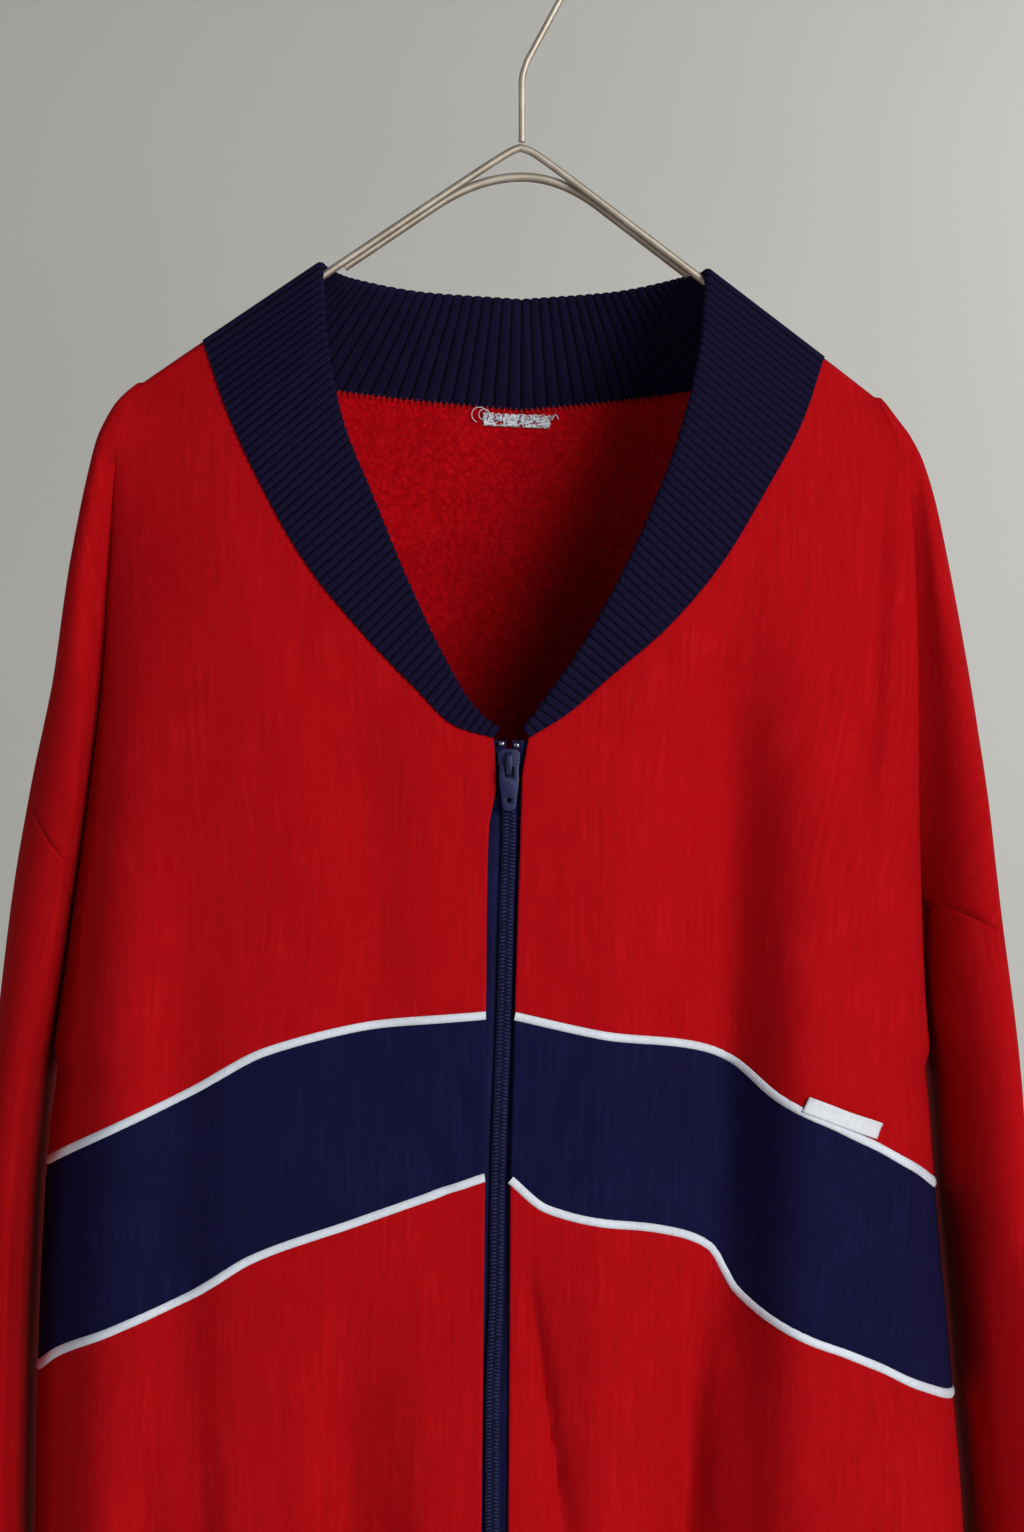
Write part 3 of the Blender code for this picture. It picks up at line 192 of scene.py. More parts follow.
# The chest band's two edges, as (x, height) of the piping's middle.
LEFT_PIPING = {
    "top": ((16, -474), (60, -478), (106, -489), (139, -507), (168, -521), (197, -537), (211, -546)),
    "bottom": ((16, -541), (70, -560), (112, -575), (139, -592), (168, -605), (199, -622), (213, -635)),
}
RIGHT_PIPING = {
    "top": (
        (-4, -474), (32, -482), (67, -488), (90, -496), (108, -510), (134, -523), (168, -543), (182, -555),
    ),
    "bottom": (
        (-6, -541), (10, -554), (56, -565), (80, -576), (92, -594), (118, -609), (137, -617), (167, -633),
        (190, -647),
    ),
}

# The two labels' middle lines and half widths.
BAND_LABEL = ((118.0, -511.5), (149.5, -524.8), 3.4)
NECK_LABEL = ((18.0, -209.6), (-13.5, -211.2), 3.0)

# Large folds, as in the solids: troughs down the cloth, from (top_x, top) to (bottom_x, bottom).
FOLD_COLUMNS = ("face", "top_x", "top", "bottom_x", "bottom", "half_width", "depth")
LEFT_FOLDS = (
    (FRONT, 66, -560, 60, -960, 26, 9),
    (FRONT, 140, -380, 150, -900, 22, 4),
    (BACK, 62, -260, 74, -960, 40, 14),
    (BACK, 140, -420, 146, -960, 24, 8),
)
RIGHT_FOLDS = (
    (FRONT, 84, -260, 64, -960, 46, 22),
    (FRONT, 8, -530, 26, -960, 22, 5),
    (BACK, 48, -300, 56, -960, 38, 12),
    (BACK, 122, -360, 132, -960, 26, 9),
)


# Small folds and creases that only the looks have: from (top_x, top) to (bottom_x, bottom).
WRINKLES = {
    "left": (
        (FRONT, 77, -575, 73, -960, 12, 6.5),
        (FRONT, 166, -290, 180, -960, 22, -7.0),
        (FRONT, 134, -590, 132, -960, 9, 3.4),
        (FRONT, 158, -610, 158, -960, 9, 3.2),
        (FRONT, 14, -600, 12, -960, 7, 1.6),
        (FRONT, 30, -492, 15, -545, 5, 1.7),
        (FRONT, 22, -480, 10, -512, 4, 1.4),
        (FRONT, 44, -520, 30, -552, 6, 1.5),
        (FRONT, 66, -300, 58, -560, 20, 3.4),
        (FRONT, 118, -235, 60, -420, 20, 1.6),
        (FRONT, 170, -560, 160, -800, 12, 2.0),
        (BACK, 20, -300, 16, -960, 16, 3.0),
        (BACK, 104, -380, 110, -960, 15, 3.5),
        (BACK, 150, -250, 90, -420, 22, 2.4),
    ),
    "right": (
        (FRONT, 158, -232, 140, -420, 9, 5.5),
        (FRONT, 92, -280, 88, -680, 20, 11.0),
        (FRONT, 73, -560, 67, -960, 12, 14.0),
        (FRONT, 92, -560, 90, -960, 18, 6.0),
        (FRONT, 160, -360, 164, -960, 11, -2.6),
        (FRONT, 0, -566, 20, -706, 5, 4.4),
        (FRONT, 16, -668, 26, -960, 6, 4.2),
        (FRONT, 108, -640, 116, -960, 10, 2.0),
        (FRONT, 20, -486, 8, -540, 5, 1.8),
        (FRONT, 30, -500, 16, -556, 5, 1.6),
        (FRONT, 150, -420, 158, -700, 10, 2.4),
        (FRONT, 105, -240, 62, -420, 18, 1.8),
        (BACK, 84, -420, 92, -960, 14, 3.2),
        (BACK, 20, -340, 24, -960, 15, 2.6),
        (BACK, 140, -260, 88, -430, 22, 2.4),
    ),
}
# Dents round the sleeves, at a turn from the outline towards the face, in degrees.
DENT_COLUMNS = ("face", "turn", "drift", "half_turn", "top", "bottom", "depth")
SLEEVE_DENTS = {
    "left": (
        (FRONT, 26, 34, 15, -372, -900, 4.0), (FRONT, 118, 0, 22, -540, -780, 3.0),
        (BACK, 52, 0, 24, -520, -790, 5.0), (BACK, 112, 0, 22, -470, -700, 4.2),
    ),
    "right": (
        (FRONT, 50, 0, 24, -480, -780, 3.2), (FRONT, 112, 0, 24, -560, -790, 3.2),
        (BACK, 60, 0, 24, -500, -790, 5.0), (BACK, 116, 0, 22, -470, -690, 4.0),
    ),
}
# The sleeves' front lies towards the body, so that their outer face looks aside.
SLEEVE_LEAN = {"left": 0.92, "right": -0.55}
LEAN_FROM, LEAN_OVER = -285.0, 110.0
UNDULATION = 0.7  # of the cloth's slow waves
WAVE = (55.0, 85.0)  # their spacing across and down

SHOULDER_X = {"left": (138.6, 88.3), "right": (131.1, 81.3)}  # collar seam and free edge over the rod
ARMHOLE_OUTSIDE = {"left": -381.0, "right": -455.0}  # where the armhole seam crosses the outline

# The solids' grids, whose rows and columns the cloth keeps: shares across and down.
FRONT_ACROSS = (0, 0.03, 0.065, 0.13, 0.22, 0.32, 0.42, 0.52, 0.62, 0.72, 0.81, 0.88, 0.935, 0.975, 1)
BACK_ACROSS = (0, 0.1, 0.22, 0.36, 0.5, 0.64, 0.77, 0.87, 0.94, 1)
UPPER_DOWN = (0, 0.012, 0.045, 0.11, 0.2, 0.3, 0.42, 0.56, 0.7, 0.85, 1)  # shoulder to SEAM_LEAVES_FOLD
NECK_ROWS = (0, 0.02, 0.07, 0.16, 0.27, 0.39, 0.51, 0.64, 0.77, 0.9, 1)  # where those rows start on its seam
BACK_NECK_ROWS = (0, 0.05, 0.14, 0.3, 0.5, 0.75, 1)  # and on the back's neck seam
ARMHOLE_DOWN = (0.35, 0.7, 1)  # on down the fold to the armpit
SIDE_DOWN = (0.5, 1)  # and down the side seam to the chest band
BACK_SIDE_DOWN = (0.15, 0.35, 0.55, 0.78, 1)

# how finely the cloth is laid out between the solids' rows and columns
ROW_STEPS = 6
COLUMN_STEPS = 5
SHOULDER_ROWS = (len(UPPER_DOWN) - 1) * ROW_STEPS  # down to where the armhole seam leaves the fold
LOBE_STEPS = 14
SLEEVE_ROWS = 64
SLEEVE_ROW_SPREAD = 1.3  # above 1 the rows lie closer at the armhole
STRIP_ROWS = {"chest_band": 24, "front_lower": 56}
FOLD_COLUMNS_ON_SLEEVE = 6  # of a sleeve's columns start in the fold

# cloth and ribs
CLOTH_THICKNESS = 1.7
FRONT_RIBS = 60  # along one side of the front neck
BACK_NECK_RIBS = 26  # from a shoulder to the centre back
RIB_PITCH = 3.5
RIB_SAMPLES = 6
BAND_HALF = 1.3  # half the thickness of the doubled rib knit between its ribs
RIB_RAISE = 0.65
RIB_ROUNDNESS = 0.7
FOLD_OF_RIB_STEPS = 6
COLLAR_STEPS = 12  # from its seam to its free edge
BAND_STEPS = 8  # down the hem band and the cuffs
HEM_PLAN_STEPS, CUFF_PLAN_STEPS = 90, 240
PIPING_HALF_WIDTH = 1.9
PIPING_PROUD = 1.7
PIPING_SUNK = 0.3  # where its edges meet the cloth
OVERLOCK_STITCHES = 56
THREADS_START = (-16.5, -209.0)  # the loose threads' left end, as (x, z)

# zip: (x from its line, depth behind the cloth) across the tape and the cord under the coil
TAPE_SECTION = (
    (1.2, 2.3), (2.2, 2.5), (3.2, 2.6), (4.2, 2.2), (5.0, 1.7), (5.8, 1.6), (7.0, 1.9), (9.0, 2.1),
    (12.5, 2.2), (16.0, 2.3),
)
TAPE_BELOW_CHAIN = 9.0
TAPE_THICKNESS = 0.6
TAPE_STEPS, CORD_STEPS = 150, 120
CORD_SECTION = ((-3.0, 0.75), (-2.0, 0.35), (-0.5, 0.1), (0.5, 0.1), (2.0, 0.35), (3.0, 0.75))
CORD_THICKNESS = 0.5
COIL_PITCH = 1.5
COIL_OFFSET = 1.45
COIL_PROUD = 0.35
COIL_LEAN = math.radians(9)
COIL_TOOTH = (1.45, 0.62, 0.46)  # half sizes along X, Y and Z
COIL_TOP = SLIDER_BOTTOM - 1.0

# slider and tab, in (half width, drop) from the slider's top or the tab's axis; depths from the cloth
SLIDER_OUTLINE = (
    (2.6, 0.0), (4.0, 0.8), (4.6, 2.2), (4.5, 5.5), (3.9, 8.5), (3.7, 12.2), (3.3, 13.6), (2.6, 14.0),
)
SLIDER_PLATE = (-2.9, -1.3)
SLIDER_UNDER = (3.0, 4.2)
SLIDER_POST = ((1.2, 0.3), (0.8, 3.0))
SLIDER_FLANGE = ((4.5, 3.0), (3.5, 3.0), (2.9, 13.2), (3.6, 13.2))
SLIDER_BRIDGE = (  # (z, y) from the plate's top and front
    (-1.6, 0.4), (-1.8, -1.4), (-3.0, -2.7), (-6.0, -3.0), (-9.0, -2.7), (-10.6, -1.4), (-10.9, 0.4),
)
BRIDGE_SIZE = (0.9, 2.2)
BRIDGE_OVERLAP = 0.55
TAB_OUTLINE = (
    (3.4, -0.6), (3.8, -0.2), (3.95, 0.8), (4.1, 5.0), (3.9, 8.0), (3.2, 13.0), (2.8, 16.8), (2.1, 18.2),
    (1.3, 18.6),
)
TAB_WINDOW = ((1.9, 0.55), (1.9, 4.9))
TAB_HOLE_RADIUS, TAB_HOLE_DROP = 1.15, 14.2
TAB_AXIS_PROUD = 1.05
TAB_HALF = 0.5
STOP_OFFSET = 3.1
STOP_OUTLINE = ((1.1, 0.2), (1.1, 1.8))
ZIP_BOX_HEIGHT = 9.2
ZIP_BOX_OUTLINE = ((4.2, 0.0), (4.2, ZIP_BOX_HEIGHT - 1), (3.2, ZIP_BOX_HEIGHT))
ZIP_BOX_SLOT = ((0.3, 1.0), (0.3, 8.0))
PLATE_ROUND, UNDER_ROUND, BAR_ROUND, FINE_ROUND = 0.45, 0.3, 0.22, 0.1  # of edges
STOP_ROUND, BOX_ROUND = 0.5, 0.4
LABEL_THICKNESS = 0.5
LABEL_ROWS, LABEL_STEPS = 8, 32  # across its width and along it


class Profile:
    """A smooth curve through (key, value) pairs that doesn't overshoot them."""

    def __init__(self, keys, values):
        pairs = sorted(zip(keys, values))
        self.keys = [float(key) for key, _ in pairs]
        self.values = [float(value) for _, value in pairs]
        steps = [b - a for a, b in zip(self.keys, self.keys[1:])]
        rises = [(b - a) / step for a, b, step in zip(self.values, self.values[1:], steps)]
        self.slopes = [rises[0]]
        for r0, r1, h0, h1 in zip(rises, rises[1:], steps, steps[1:]):
            same_way = r0 * r1 > 0
            self.slopes.append(3 * (h0 + h1) / ((2 * h1 + h0) / r0 + (h1 + 2 * h0) / r1) if same_way else 0.0)
        self.slopes.append(rises[-1])

    def __call__(self, key):
        key = min(max(key, self.keys[0]), self.keys[-1])
        i = min(bisect.bisect_right(self.keys, key), len(self.keys) - 1) - 1
        step = self.keys[i + 1] - self.keys[i]
        t = (key - self.keys[i]) / step
        rise = self.values[i + 1] - self.values[i]
        start, end = self.slopes[i] * step, self.slopes[i + 1] * step
        return self.values[i] + t * (start + t * (3 * rise - 2 * start - end + t * (start + end - 2 * rise)))


def profiles(columns, rows):
    """One Profile for each column after the first, which is the key."""
    keys = [row[0] for row in rows]
    return {name: Profile(keys, [row[i] for row in rows]) for i, name in enumerate(columns) if i}


def mix(a, b, t):
    return a + (b - a) * t


def smooth(t):
    t = min(1.0, max(0.0, t))
    return t * t * (3 - 2 * t)


def table(columns, rows):
    return [dict(zip(columns, row)) for row in rows]


def place_on_fold(fold, x, z):
    """How far down a fold a point lies, from 0 to 1, and how far across it in half widths."""
    along = (fold["top"] - z) / (fold["top"] - fold["bottom"])
    return along, (x - mix(fold["top_x"], fold["bottom_x"], along)) / fold["half_width"]


def between(values, steps):
    """The values of a table with more of them between, on a smooth curve."""
    curve = Profile(range(len(values)), values)
    return [curve(i / steps) for i in range((len(values) - 1) * steps + 1)]


class Side:
    """One half of the garment. Points here are (x outwards, y, z) in millimetres."""

    def __init__(self, name, sign, sections, neck, piping, folds):
        self.name, self.sign = name, sign
        self.section = profiles(SECTION_COLUMNS, sections)
        self.centre = profiles(CENTRE_COLUMNS, CENTRE)
        self.seam_x, self.edge_x = SHOULDER_X[name]
        shoulder = (0.0, self.seam_x, self.ridge(self.seam_x), self.edge_x, self.ridge(self.edge_x))
        self.neck = profiles(NECK_COLUMNS, (shoulder,) + neck)
        self.back_neck = profiles(BACK_NECK_COLUMNS, BACK_NECK)
        self.piping = {line: Profile(*zip(*rows)) for line, rows in piping.items()}
        self.folds = table(FOLD_COLUMNS, folds)
        self.wrinkles = table(FOLD_COLUMNS, WRINKLES[name])
        self.dents = table(DENT_COLUMNS, SLEEVE_DENTS[name])
        self.tip = self.ridge((sections[0][1] + sections[0][3]) / 2)

    def world(self, point):
        return Vector((self.sign * point[0], point[1], point[2])) * MM

    def ridge(self, x):
        """Height of the cloth's fold over the hanger's arm."""
        return ROD_TOP + RIDGE_OVER_ROD - ROD_SLOPE[self.name] * abs(x)

    def centre_edge(self, z):
        """The zip edge of the front."""
        return self.centre[self.name + "_edge"](z)

    def side_x(self, z):
        """Where the body's cloth ends: the bottom of the fold above the armpit, the side seam below it."""
        fold, inner = self.section["fold_x"](z), self.section["inner_x"](z)
        return mix(fold - 1.5, (fold + inner) / 2, smooth((z - ARMPIT) / 12))

    def tent(self, drop):
        """The cloth's half width where it bends over the rod."""
        return TENT_HALF_WIDTH * min(1.0, math.sqrt(max(0.0, drop) / TENT_HEIGHT))

    def edge_depth(self, face, drop, z):
        """How far towards the face the body's cloth ends at its side."""
        depth = self.section["front_fold" if face == FRONT else "back_fold"](z)
        return face * depth + self.tent(drop) * (1 - smooth(drop / TENT_FADE))

    def creases(self, face, x, z):
        """Depth of the large folds, which run on to the hem."""
        total = 0.0
        for fold in self.folds:
            along, across = place_on_fold(fold, x, z)
            if fold["face"] == face and 0 < along < 1 and abs(across) < 1:
                total += fold["depth"] * smooth(along / FOLD_GROWTH) * math.cos(across * math.pi / 2) ** 2
        return total

    def small_creases(self, face, x, z):
        """Creases that fade at both ends, with a low ridge on each side, and the cloth's slow waves."""
        total = UNDULATION * noise.noise(Vector((self.sign * x / WAVE[0], face * 7.0, z / WAVE[1])))
        for fold in self.wrinkles:
            if fold["face"] != face:
                continue
            along, across = place_on_fold(fold, x, z)
            if 0 < along < 1 and abs(across) < 2:
                ends = smooth(along / WRINKLE_ENDS) * smooth((1 - along) / WRINKLE_ENDS)
                total += fold["depth"] * ends * (1 - across**2 / 2) * math.exp(-(across**2))
        return total

    def body_y(self, face, x, z):
        """The front or back of the body, as a depth over its outline."""
        drop = max(0.0, self.ridge(x) - z)
        depth = self.centre["front_depth" if face == FRONT else "back_depth"](z)
        reach = self.tent(drop) + depth * (1 - math.exp(-drop / SPREAD[face]))
        share = min(1.0, max(0.0, x) / self.side_x(z))
        arch = math.sqrt(1 - share ** SQUARENESS[face])
        edge = self.edge_depth(face, drop, z)
        calm = smooth(drop / CALM_DROP)
        if face == FRONT:
            calm *= smooth((1 - share) / CALM_SIDE) * smooth((x - self.centre_edge(z)) / CALM_ZIP)
        else:
            calm *= arch
        small = self.small_creases(face, x, z) * calm
        return face * (edge + (reach - edge - self.creases(face, x, z)) * arch - small)

    def on_body(self, face, x, z, lift=0.0):
        """A point on the cloth, raised by lift along its normal."""
        point = Vector((x, self.body_y(face, x, z), z))
        return self.world(point + self.normal(face, x, z) * lift if lift else point)

    def normal(self, face, x, z):
        """The outward normal, in this side's own (x outwards, y, z)."""
        step = max(0.2, min(1.5, (self.side_x(z) - x) * 0.5))
        across = (self.body_y(face, x + step, z) - self.body_y(face, x - step, z)) / (2 * step)
        down = self.body_y(face, x, z + 1) - self.body_y(face, x, z - 1)
        return Vector((-across * face, face, -down / 2 * face)).normalized()

    def sleeve_ring(self, z):
        value = {name: curve(z) for name, curve in self.section.items()}
        tent = self.tent(self.tip - z)
        centre = (value["inner_x"] + value["outline_x"]) / 2
        half_width = (value["outline_x"] - value["inner_x"]) / 2
        front = value["sleeve_y"] - value["sleeve_front"] + tent
        back = value["sleeve_back"] - value["sleeve_y"] + tent
        return centre, half_width, value["sleeve_y"], front, back

    def on_sleeve(self, angle, z):
        """A point round the sleeve. Angle 0 is the outline, positive towards the front."""
        centre, half_width, middle, front, back = self.sleeve_ring(z)
        reach = front if angle > 0 else back
        inset = 0.0
        for dent in self.dents:
            along = (dent["top"] - z) / (dent["top"] - dent["bottom"])
            turn = math.degrees(angle) * -dent["face"] - dent["turn"] - dent["drift"] * along
            turn /= dent["half_turn"]
            if abs(turn) < 1 and 0 < along < 1:
                ends = smooth(along / DENT_ENDS) * smooth((1 - along) / DENT_ENDS)
                inset += dent["depth"] * math.cos(turn * math.pi / 2) ** 2 * ends
        scale = 1 - inset / max(reach, half_width)
        wave = UNDULATION * noise.noise(Vector((angle * 1.5, self.sign * 3.0, z / WAVE[1])))
        wave *= smooth((self.tip - z) / 60)
        out = math.cos(angle)
        if angle > 0:
            lean = SLEEVE_LEAN[self.name] * smooth((LEAN_FROM - z) / LEAN_OVER)
            out = out * (1 + lean if out > 0 else 1 - lean) - lean
        x = centre + (half_width * scale + wave * 0.5) * out
        y = middle - (reach * scale + wave) * math.sin(angle)
        return self.world((x, y, z))

    def away_from_sleeve(self, point):
        """The level way from the sleeve's middle line to a point in metres."""
        centre, _, middle, _, _ = self.sleeve_ring(point.z / MM)
        return Vector((point.x - self.sign * centre * MM, point.y - middle * MM, 0))

    def fold_angle(self, face, z):
        """The angle on the sleeve's ring where it meets the fold's bottom."""
        _, _, middle, front, back = self.sleeve_ring(z)
        reach = front if face == FRONT else back
        gap = face * (self.body_y(face, self.side_x(z), z) - middle)
        ratio = min(0.999, max(0.0, gap / reach)) if reach > 0 else 0.0
        return -face * (math.pi - math.asin(ratio))

    def armhole(self, share):
        """Height of the armhole seam, from the fold (0) to the outline (1)."""
        return mix(SEAM_LEAVES_FOLD, ARMHOLE_OUTSIDE[self.name], smooth(share))

    def front_neck(self, share):
        """The collar's seam on the front, from the shoulder (0) to the zip's top (1)."""
        return self.neck["seam_x"](share), self.neck["seam_z"](share)

    def rear_neck(self, share):
        """The collar's seam on the back, from the shoulder (0) to the centre back (1)."""
        level = mix(self.ridge(self.seam_x), BACK_NECK_LEVEL, smooth(share / 0.12))
        return self.back_neck["seam_x"](share) * self.seam_x, level - self.back_neck["seam_drop"](share)

    def line_columns(self, line, across):
        """Where the front's columns cross one of the chest band's lines."""
        start = self.centre_edge(line(self.centre_edge(-510)))
        end = self.side_x(line(self.side_x(-560)))
        return [mix(start, end, share) for share in across]


LEFT = Side("left", -1, LEFT_SECTIONS, LEFT_NECK, LEFT_PIPING, LEFT_FOLDS)
RIGHT = Side("right", 1, RIGHT_SECTIONS, RIGHT_NECK, RIGHT_PIPING, RIGHT_FOLDS)
SIDES = (LEFT, RIGHT)


def zip_x(z):
    return LEFT.centre["zip_x"](z)


def zip_y(z):
    """The cloth's middle surface at the zip's line."""
    return RIGHT.body_y(FRONT, zip_x(z), z)


# ---- meshes ----


def to_object(name, bm, finishes, nodes=(), body="garment", smooth_angle=50):
    """Makes the piece, which stands for its CAD nodes and rides on its body."""
    name += "_piece"
    mesh = bpy.data.meshes.new(name)
    bm.to_mesh(mesh)
    bm.free()
    mesh.shade_smooth()
    mesh.set_sharp_from_angle(angle=math.radians(smooth_angle))
    for finish in finishes:
        mesh.materials.append(finish)
    piece = bpy.data.objects.new(name, mesh)
    bpy.context.scene.collection.objects.link(piece)
    if nodes:
        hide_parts(*nodes)
    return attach(piece, body)


def lay_grid(bm, rows, outward):
    """A grid through rows of (point, (u, v)). It faces outward: a direction, or a function of a point."""
    uv_layer = bm.loops.layers.uv.get("UVMap") or bm.loops.layers.uv.new("UVMap")
    down, across = len(rows) - 1, len(rows[0]) - 1
    verts = bmesh.ops.create_grid(bm, x_segments=across, y_segments=down, size=1)["verts"]
    for vert in verts:
        column, row = round((vert.co.x + 1) / 2 * across), round((vert.co.y + 1) / 2 * down)
        vert.co, place = rows[row][column]
        for loop in vert.link_loops:
            loop[uv_layer].uv = place
    faces = list(dict.fromkeys(face for vert in verts for face in vert.link_faces))
    total = 0.0
    for face in faces:
        face.normal_update()
        centre = face.calc_center_median()
        way = outward(centre) if callable(outward) else Vector(outward)
        total += face.normal.dot(way) * face.calc_area()
    if total < 0:
        bmesh.ops.reverse_faces(bm, faces=faces)
    return faces


def with_lengths(rows, starts=None):
    """Adds to rows of points their (u, v) in metres: the way across the cloth, and the height."""
    measured = []
    for i, row in enumerate(rows):
        u = starts[i] if starts else 0.0
        line = [(row[0], (u, -row[0].z))]
        for before, point in zip(row, row[1:]):
            u += (point - before).length
            line.append((point, (u, -point.z)))
        measured.append(line)
    return measured


def thicken(piece, thickness):
    """Gives a thin piece its thickness in metres, half of it on each side."""
    wall = piece.modifiers.new("thickness", "SOLIDIFY")
    wall.thickness, wall.offset = thickness, 0.0
    return wall


def cloth_piece(name, patches, outward, finishes):
    """A panel of cloth from patches that join where their points meet. The second finish is its inside."""
    bm = bmesh.new()
    for rows in patches:
        lay_grid(bm, rows, outward)
    bmesh.ops.remove_doubles(bm, verts=bm.verts, dist=0.02 * MM)
    piece = to_object(name, bm, finishes, nodes=(name,))
    thicken(piece, bpy.context.scene.sweatshirt_look.cloth_thickness).material_offset = 1


def heights_down(side, side_bottom, side_shares):
    """The heights at which the rows meet the body's side, as in the solids."""
    fold = [mix(side.tip, SEAM_LEAVES_FOLD, share) for share in UPPER_DOWN]
    arm = [mix(SEAM_LEAVES_FOLD, ARMPIT, share) for share in ARMHOLE_DOWN]
    seam = [mix(ARMPIT, side_bottom, share) for share in side_shares]
    return fold + arm + seam


def body_rows(side, face, inner_edge, down, across, bend=None):
    """Rows of cloth from the shoulder down. inner_edge(i) gives row i's inner (x, z), bend a further drop."""
    rows, starts = [], []
    for i, side_z in enumerate(down):
        in_x, in_z = inner_edge(i)
        row = []
        for share in across:
            x = mix(in_x, side.side_x(side_z), share)
            z = mix(in_z, side_z, share) + (bend(i, x, share) if bend else 0.0)
            row.append(side.on_body(face, x, z))
        rows.append(row)
        starts.append(in_x * MM)
    return with_lengths(rows, starts)


def lobe_rows(side, face, body):
    """The dropped shoulder outside the fold, from the hanger's tip down to the armhole seam."""
    rows, starts = [], []
    for line in body:
        edge, (u, _) = line[-1]
        fall = (side.tip - edge.z / MM) / (side.tip - SEAM_LEAVES_FOLD)
        row = [edge]
        for step in range(1, LOBE_STEPS + 1):
            share = step / LOBE_STEPS
            z = mix(side.tip, side.armhole(share), fall)
            row.append(side.on_sleeve(mix(side.fold_angle(face, z), 0.0, share), z))
        rows.append(row)
        starts.append(u)
    return with_lengths(rows, starts)


def front_upper(side, finishes):
    line = side.piping["top"]
    across = between(FRONT_ACROSS, COLUMN_STEPS)
    columns = side.line_columns(line, across)
    bottom = line(columns[-1])
    down = between(heights_down(side, bottom, SIDE_DOWN), ROW_STEPS)
    neck = between(NECK_ROWS, ROW_STEPS)

    def below_neck(i):
        return (i - SHOULDER_ROWS) / (len(down) - 1 - SHOULDER_ROWS)

    def inner_edge(i):
        if i <= SHOULDER_ROWS:
            return side.front_neck(neck[i])
        z = mix(ZIP_TOP, line(columns[0]), below_neck(i))
        return (side.centre_edge(z) if i < len(down) - 1 else columns[0]), z

    def bend(i, x, share):
        straight = mix(line(columns[0]), bottom, share)
        return (line(x) - straight) * max(0.0, below_neck(i)) ** 2

    body = body_rows(side, FRONT, inner_edge, down, across, bend)
    lobe = lobe_rows(side, FRONT, body[: SHOULDER_ROWS + 1])
    cloth_piece("front_upper_" + side.name, [body, lobe], (0, FRONT, 0), finishes)


def front_strip(side, name, top_line, bottom_line, finishes):
    """A front piece between two lines, each a function of x that gives a height."""
    across = between(FRONT_ACROSS, COLUMN_STEPS)
    top_xs, bottom_xs = side.line_columns(top_line, across), side.line_columns(bottom_line, across)
    rows = []
    for i in range(STRIP_ROWS[name] + 1):
        share = i / STRIP_ROWS[name]
        row = []
        for top_x, bottom_x, column in zip(top_xs, bottom_xs, across):
            z = mix(top_line(top_x), bottom_line(bottom_x), share)
            x = side.side_x(z) if column == 1 else min(mix(top_x, bottom_x, share), side.side_x(z))
            row.append(side.on_body(FRONT, x, z))
        rows.append(row)
    rows = with_lengths(rows, [side.sign * row[0].x for row in rows])
    cloth_piece(name + "_" + side.name, [rows], (0, FRONT, 0), finishes)


def piping(side, line_name, finish):
    """A corded strip of white binding over a seam, half round."""
    line = side.piping[line_name]
    across = between(FRONT_ACROSS, COLUMN_STEPS * 2)
    columns = side.line_columns(line, across)
    columns = [min(x, side.side_x(line(x)) - 0.2) for x in columns]
    profile = [(math.sin(turn), math.cos(turn)) for turn in (math.pi * (i / 10 - 0.5) for i in range(11))]
    rows = [[] for _ in profile]
    length, last = 0.0, None
    for i, x in enumerate(columns):
        ahead, behind = columns[min(i + 1, len(columns) - 1)], columns[max(i - 1, 0)]
        slope = Vector((ahead - behind, line(ahead) - line(behind))).normalized()
        z = line(x)
        centre = side.on_body(FRONT, x, z)
        length += (centre - last).length if last else 0.0
        last = centre
        for row, (down, lift) in zip(rows, profile):
            px = x + slope.y * down * PIPING_HALF_WIDTH
            pz = z - slope.x * down * PIPING_HALF_WIDTH
            raised = mix(PIPING_SUNK, PIPING_PROUD, lift)
            row.append((side.on_body(FRONT, px, pz, raised), (length, down * 2.5 * MM)))
    bm = bmesh.new()
    lay_grid(bm, rows, (0, FRONT, 0))
    name = "piping_%s_%s" % (line_name, side.name)
    to_object(name, bm, [finish], nodes=(name,))


def back_panel(finishes):
    patches = []
    across = between(BACK_ACROSS, COLUMN_STEPS)
    neck = between(BACK_NECK_ROWS, ROW_STEPS)
    corner = len(neck) - 1
    for side in SIDES:
        down = between(heights_down(side, BODY_HEM_SEAM, BACK_SIDE_DOWN), ROW_STEPS)

        def inner_edge(i):
            if i <= corner:
                return side.rear_neck(neck[i])
            return 0.0, mix(side.rear_neck(1)[1], down[-1], (i - corner) / (len(down) - 1 - corner))

        body = body_rows(side, BACK, inner_edge, down, across)
        for rows in (body, lobe_rows(side, BACK, body[: SHOULDER_ROWS + 1])):
            patches.append([[(point, (side.sign * u, v)) for point, (u, v) in row] for row in rows])
    cloth_piece("back", patches, (0, BACK, 0), finishes)


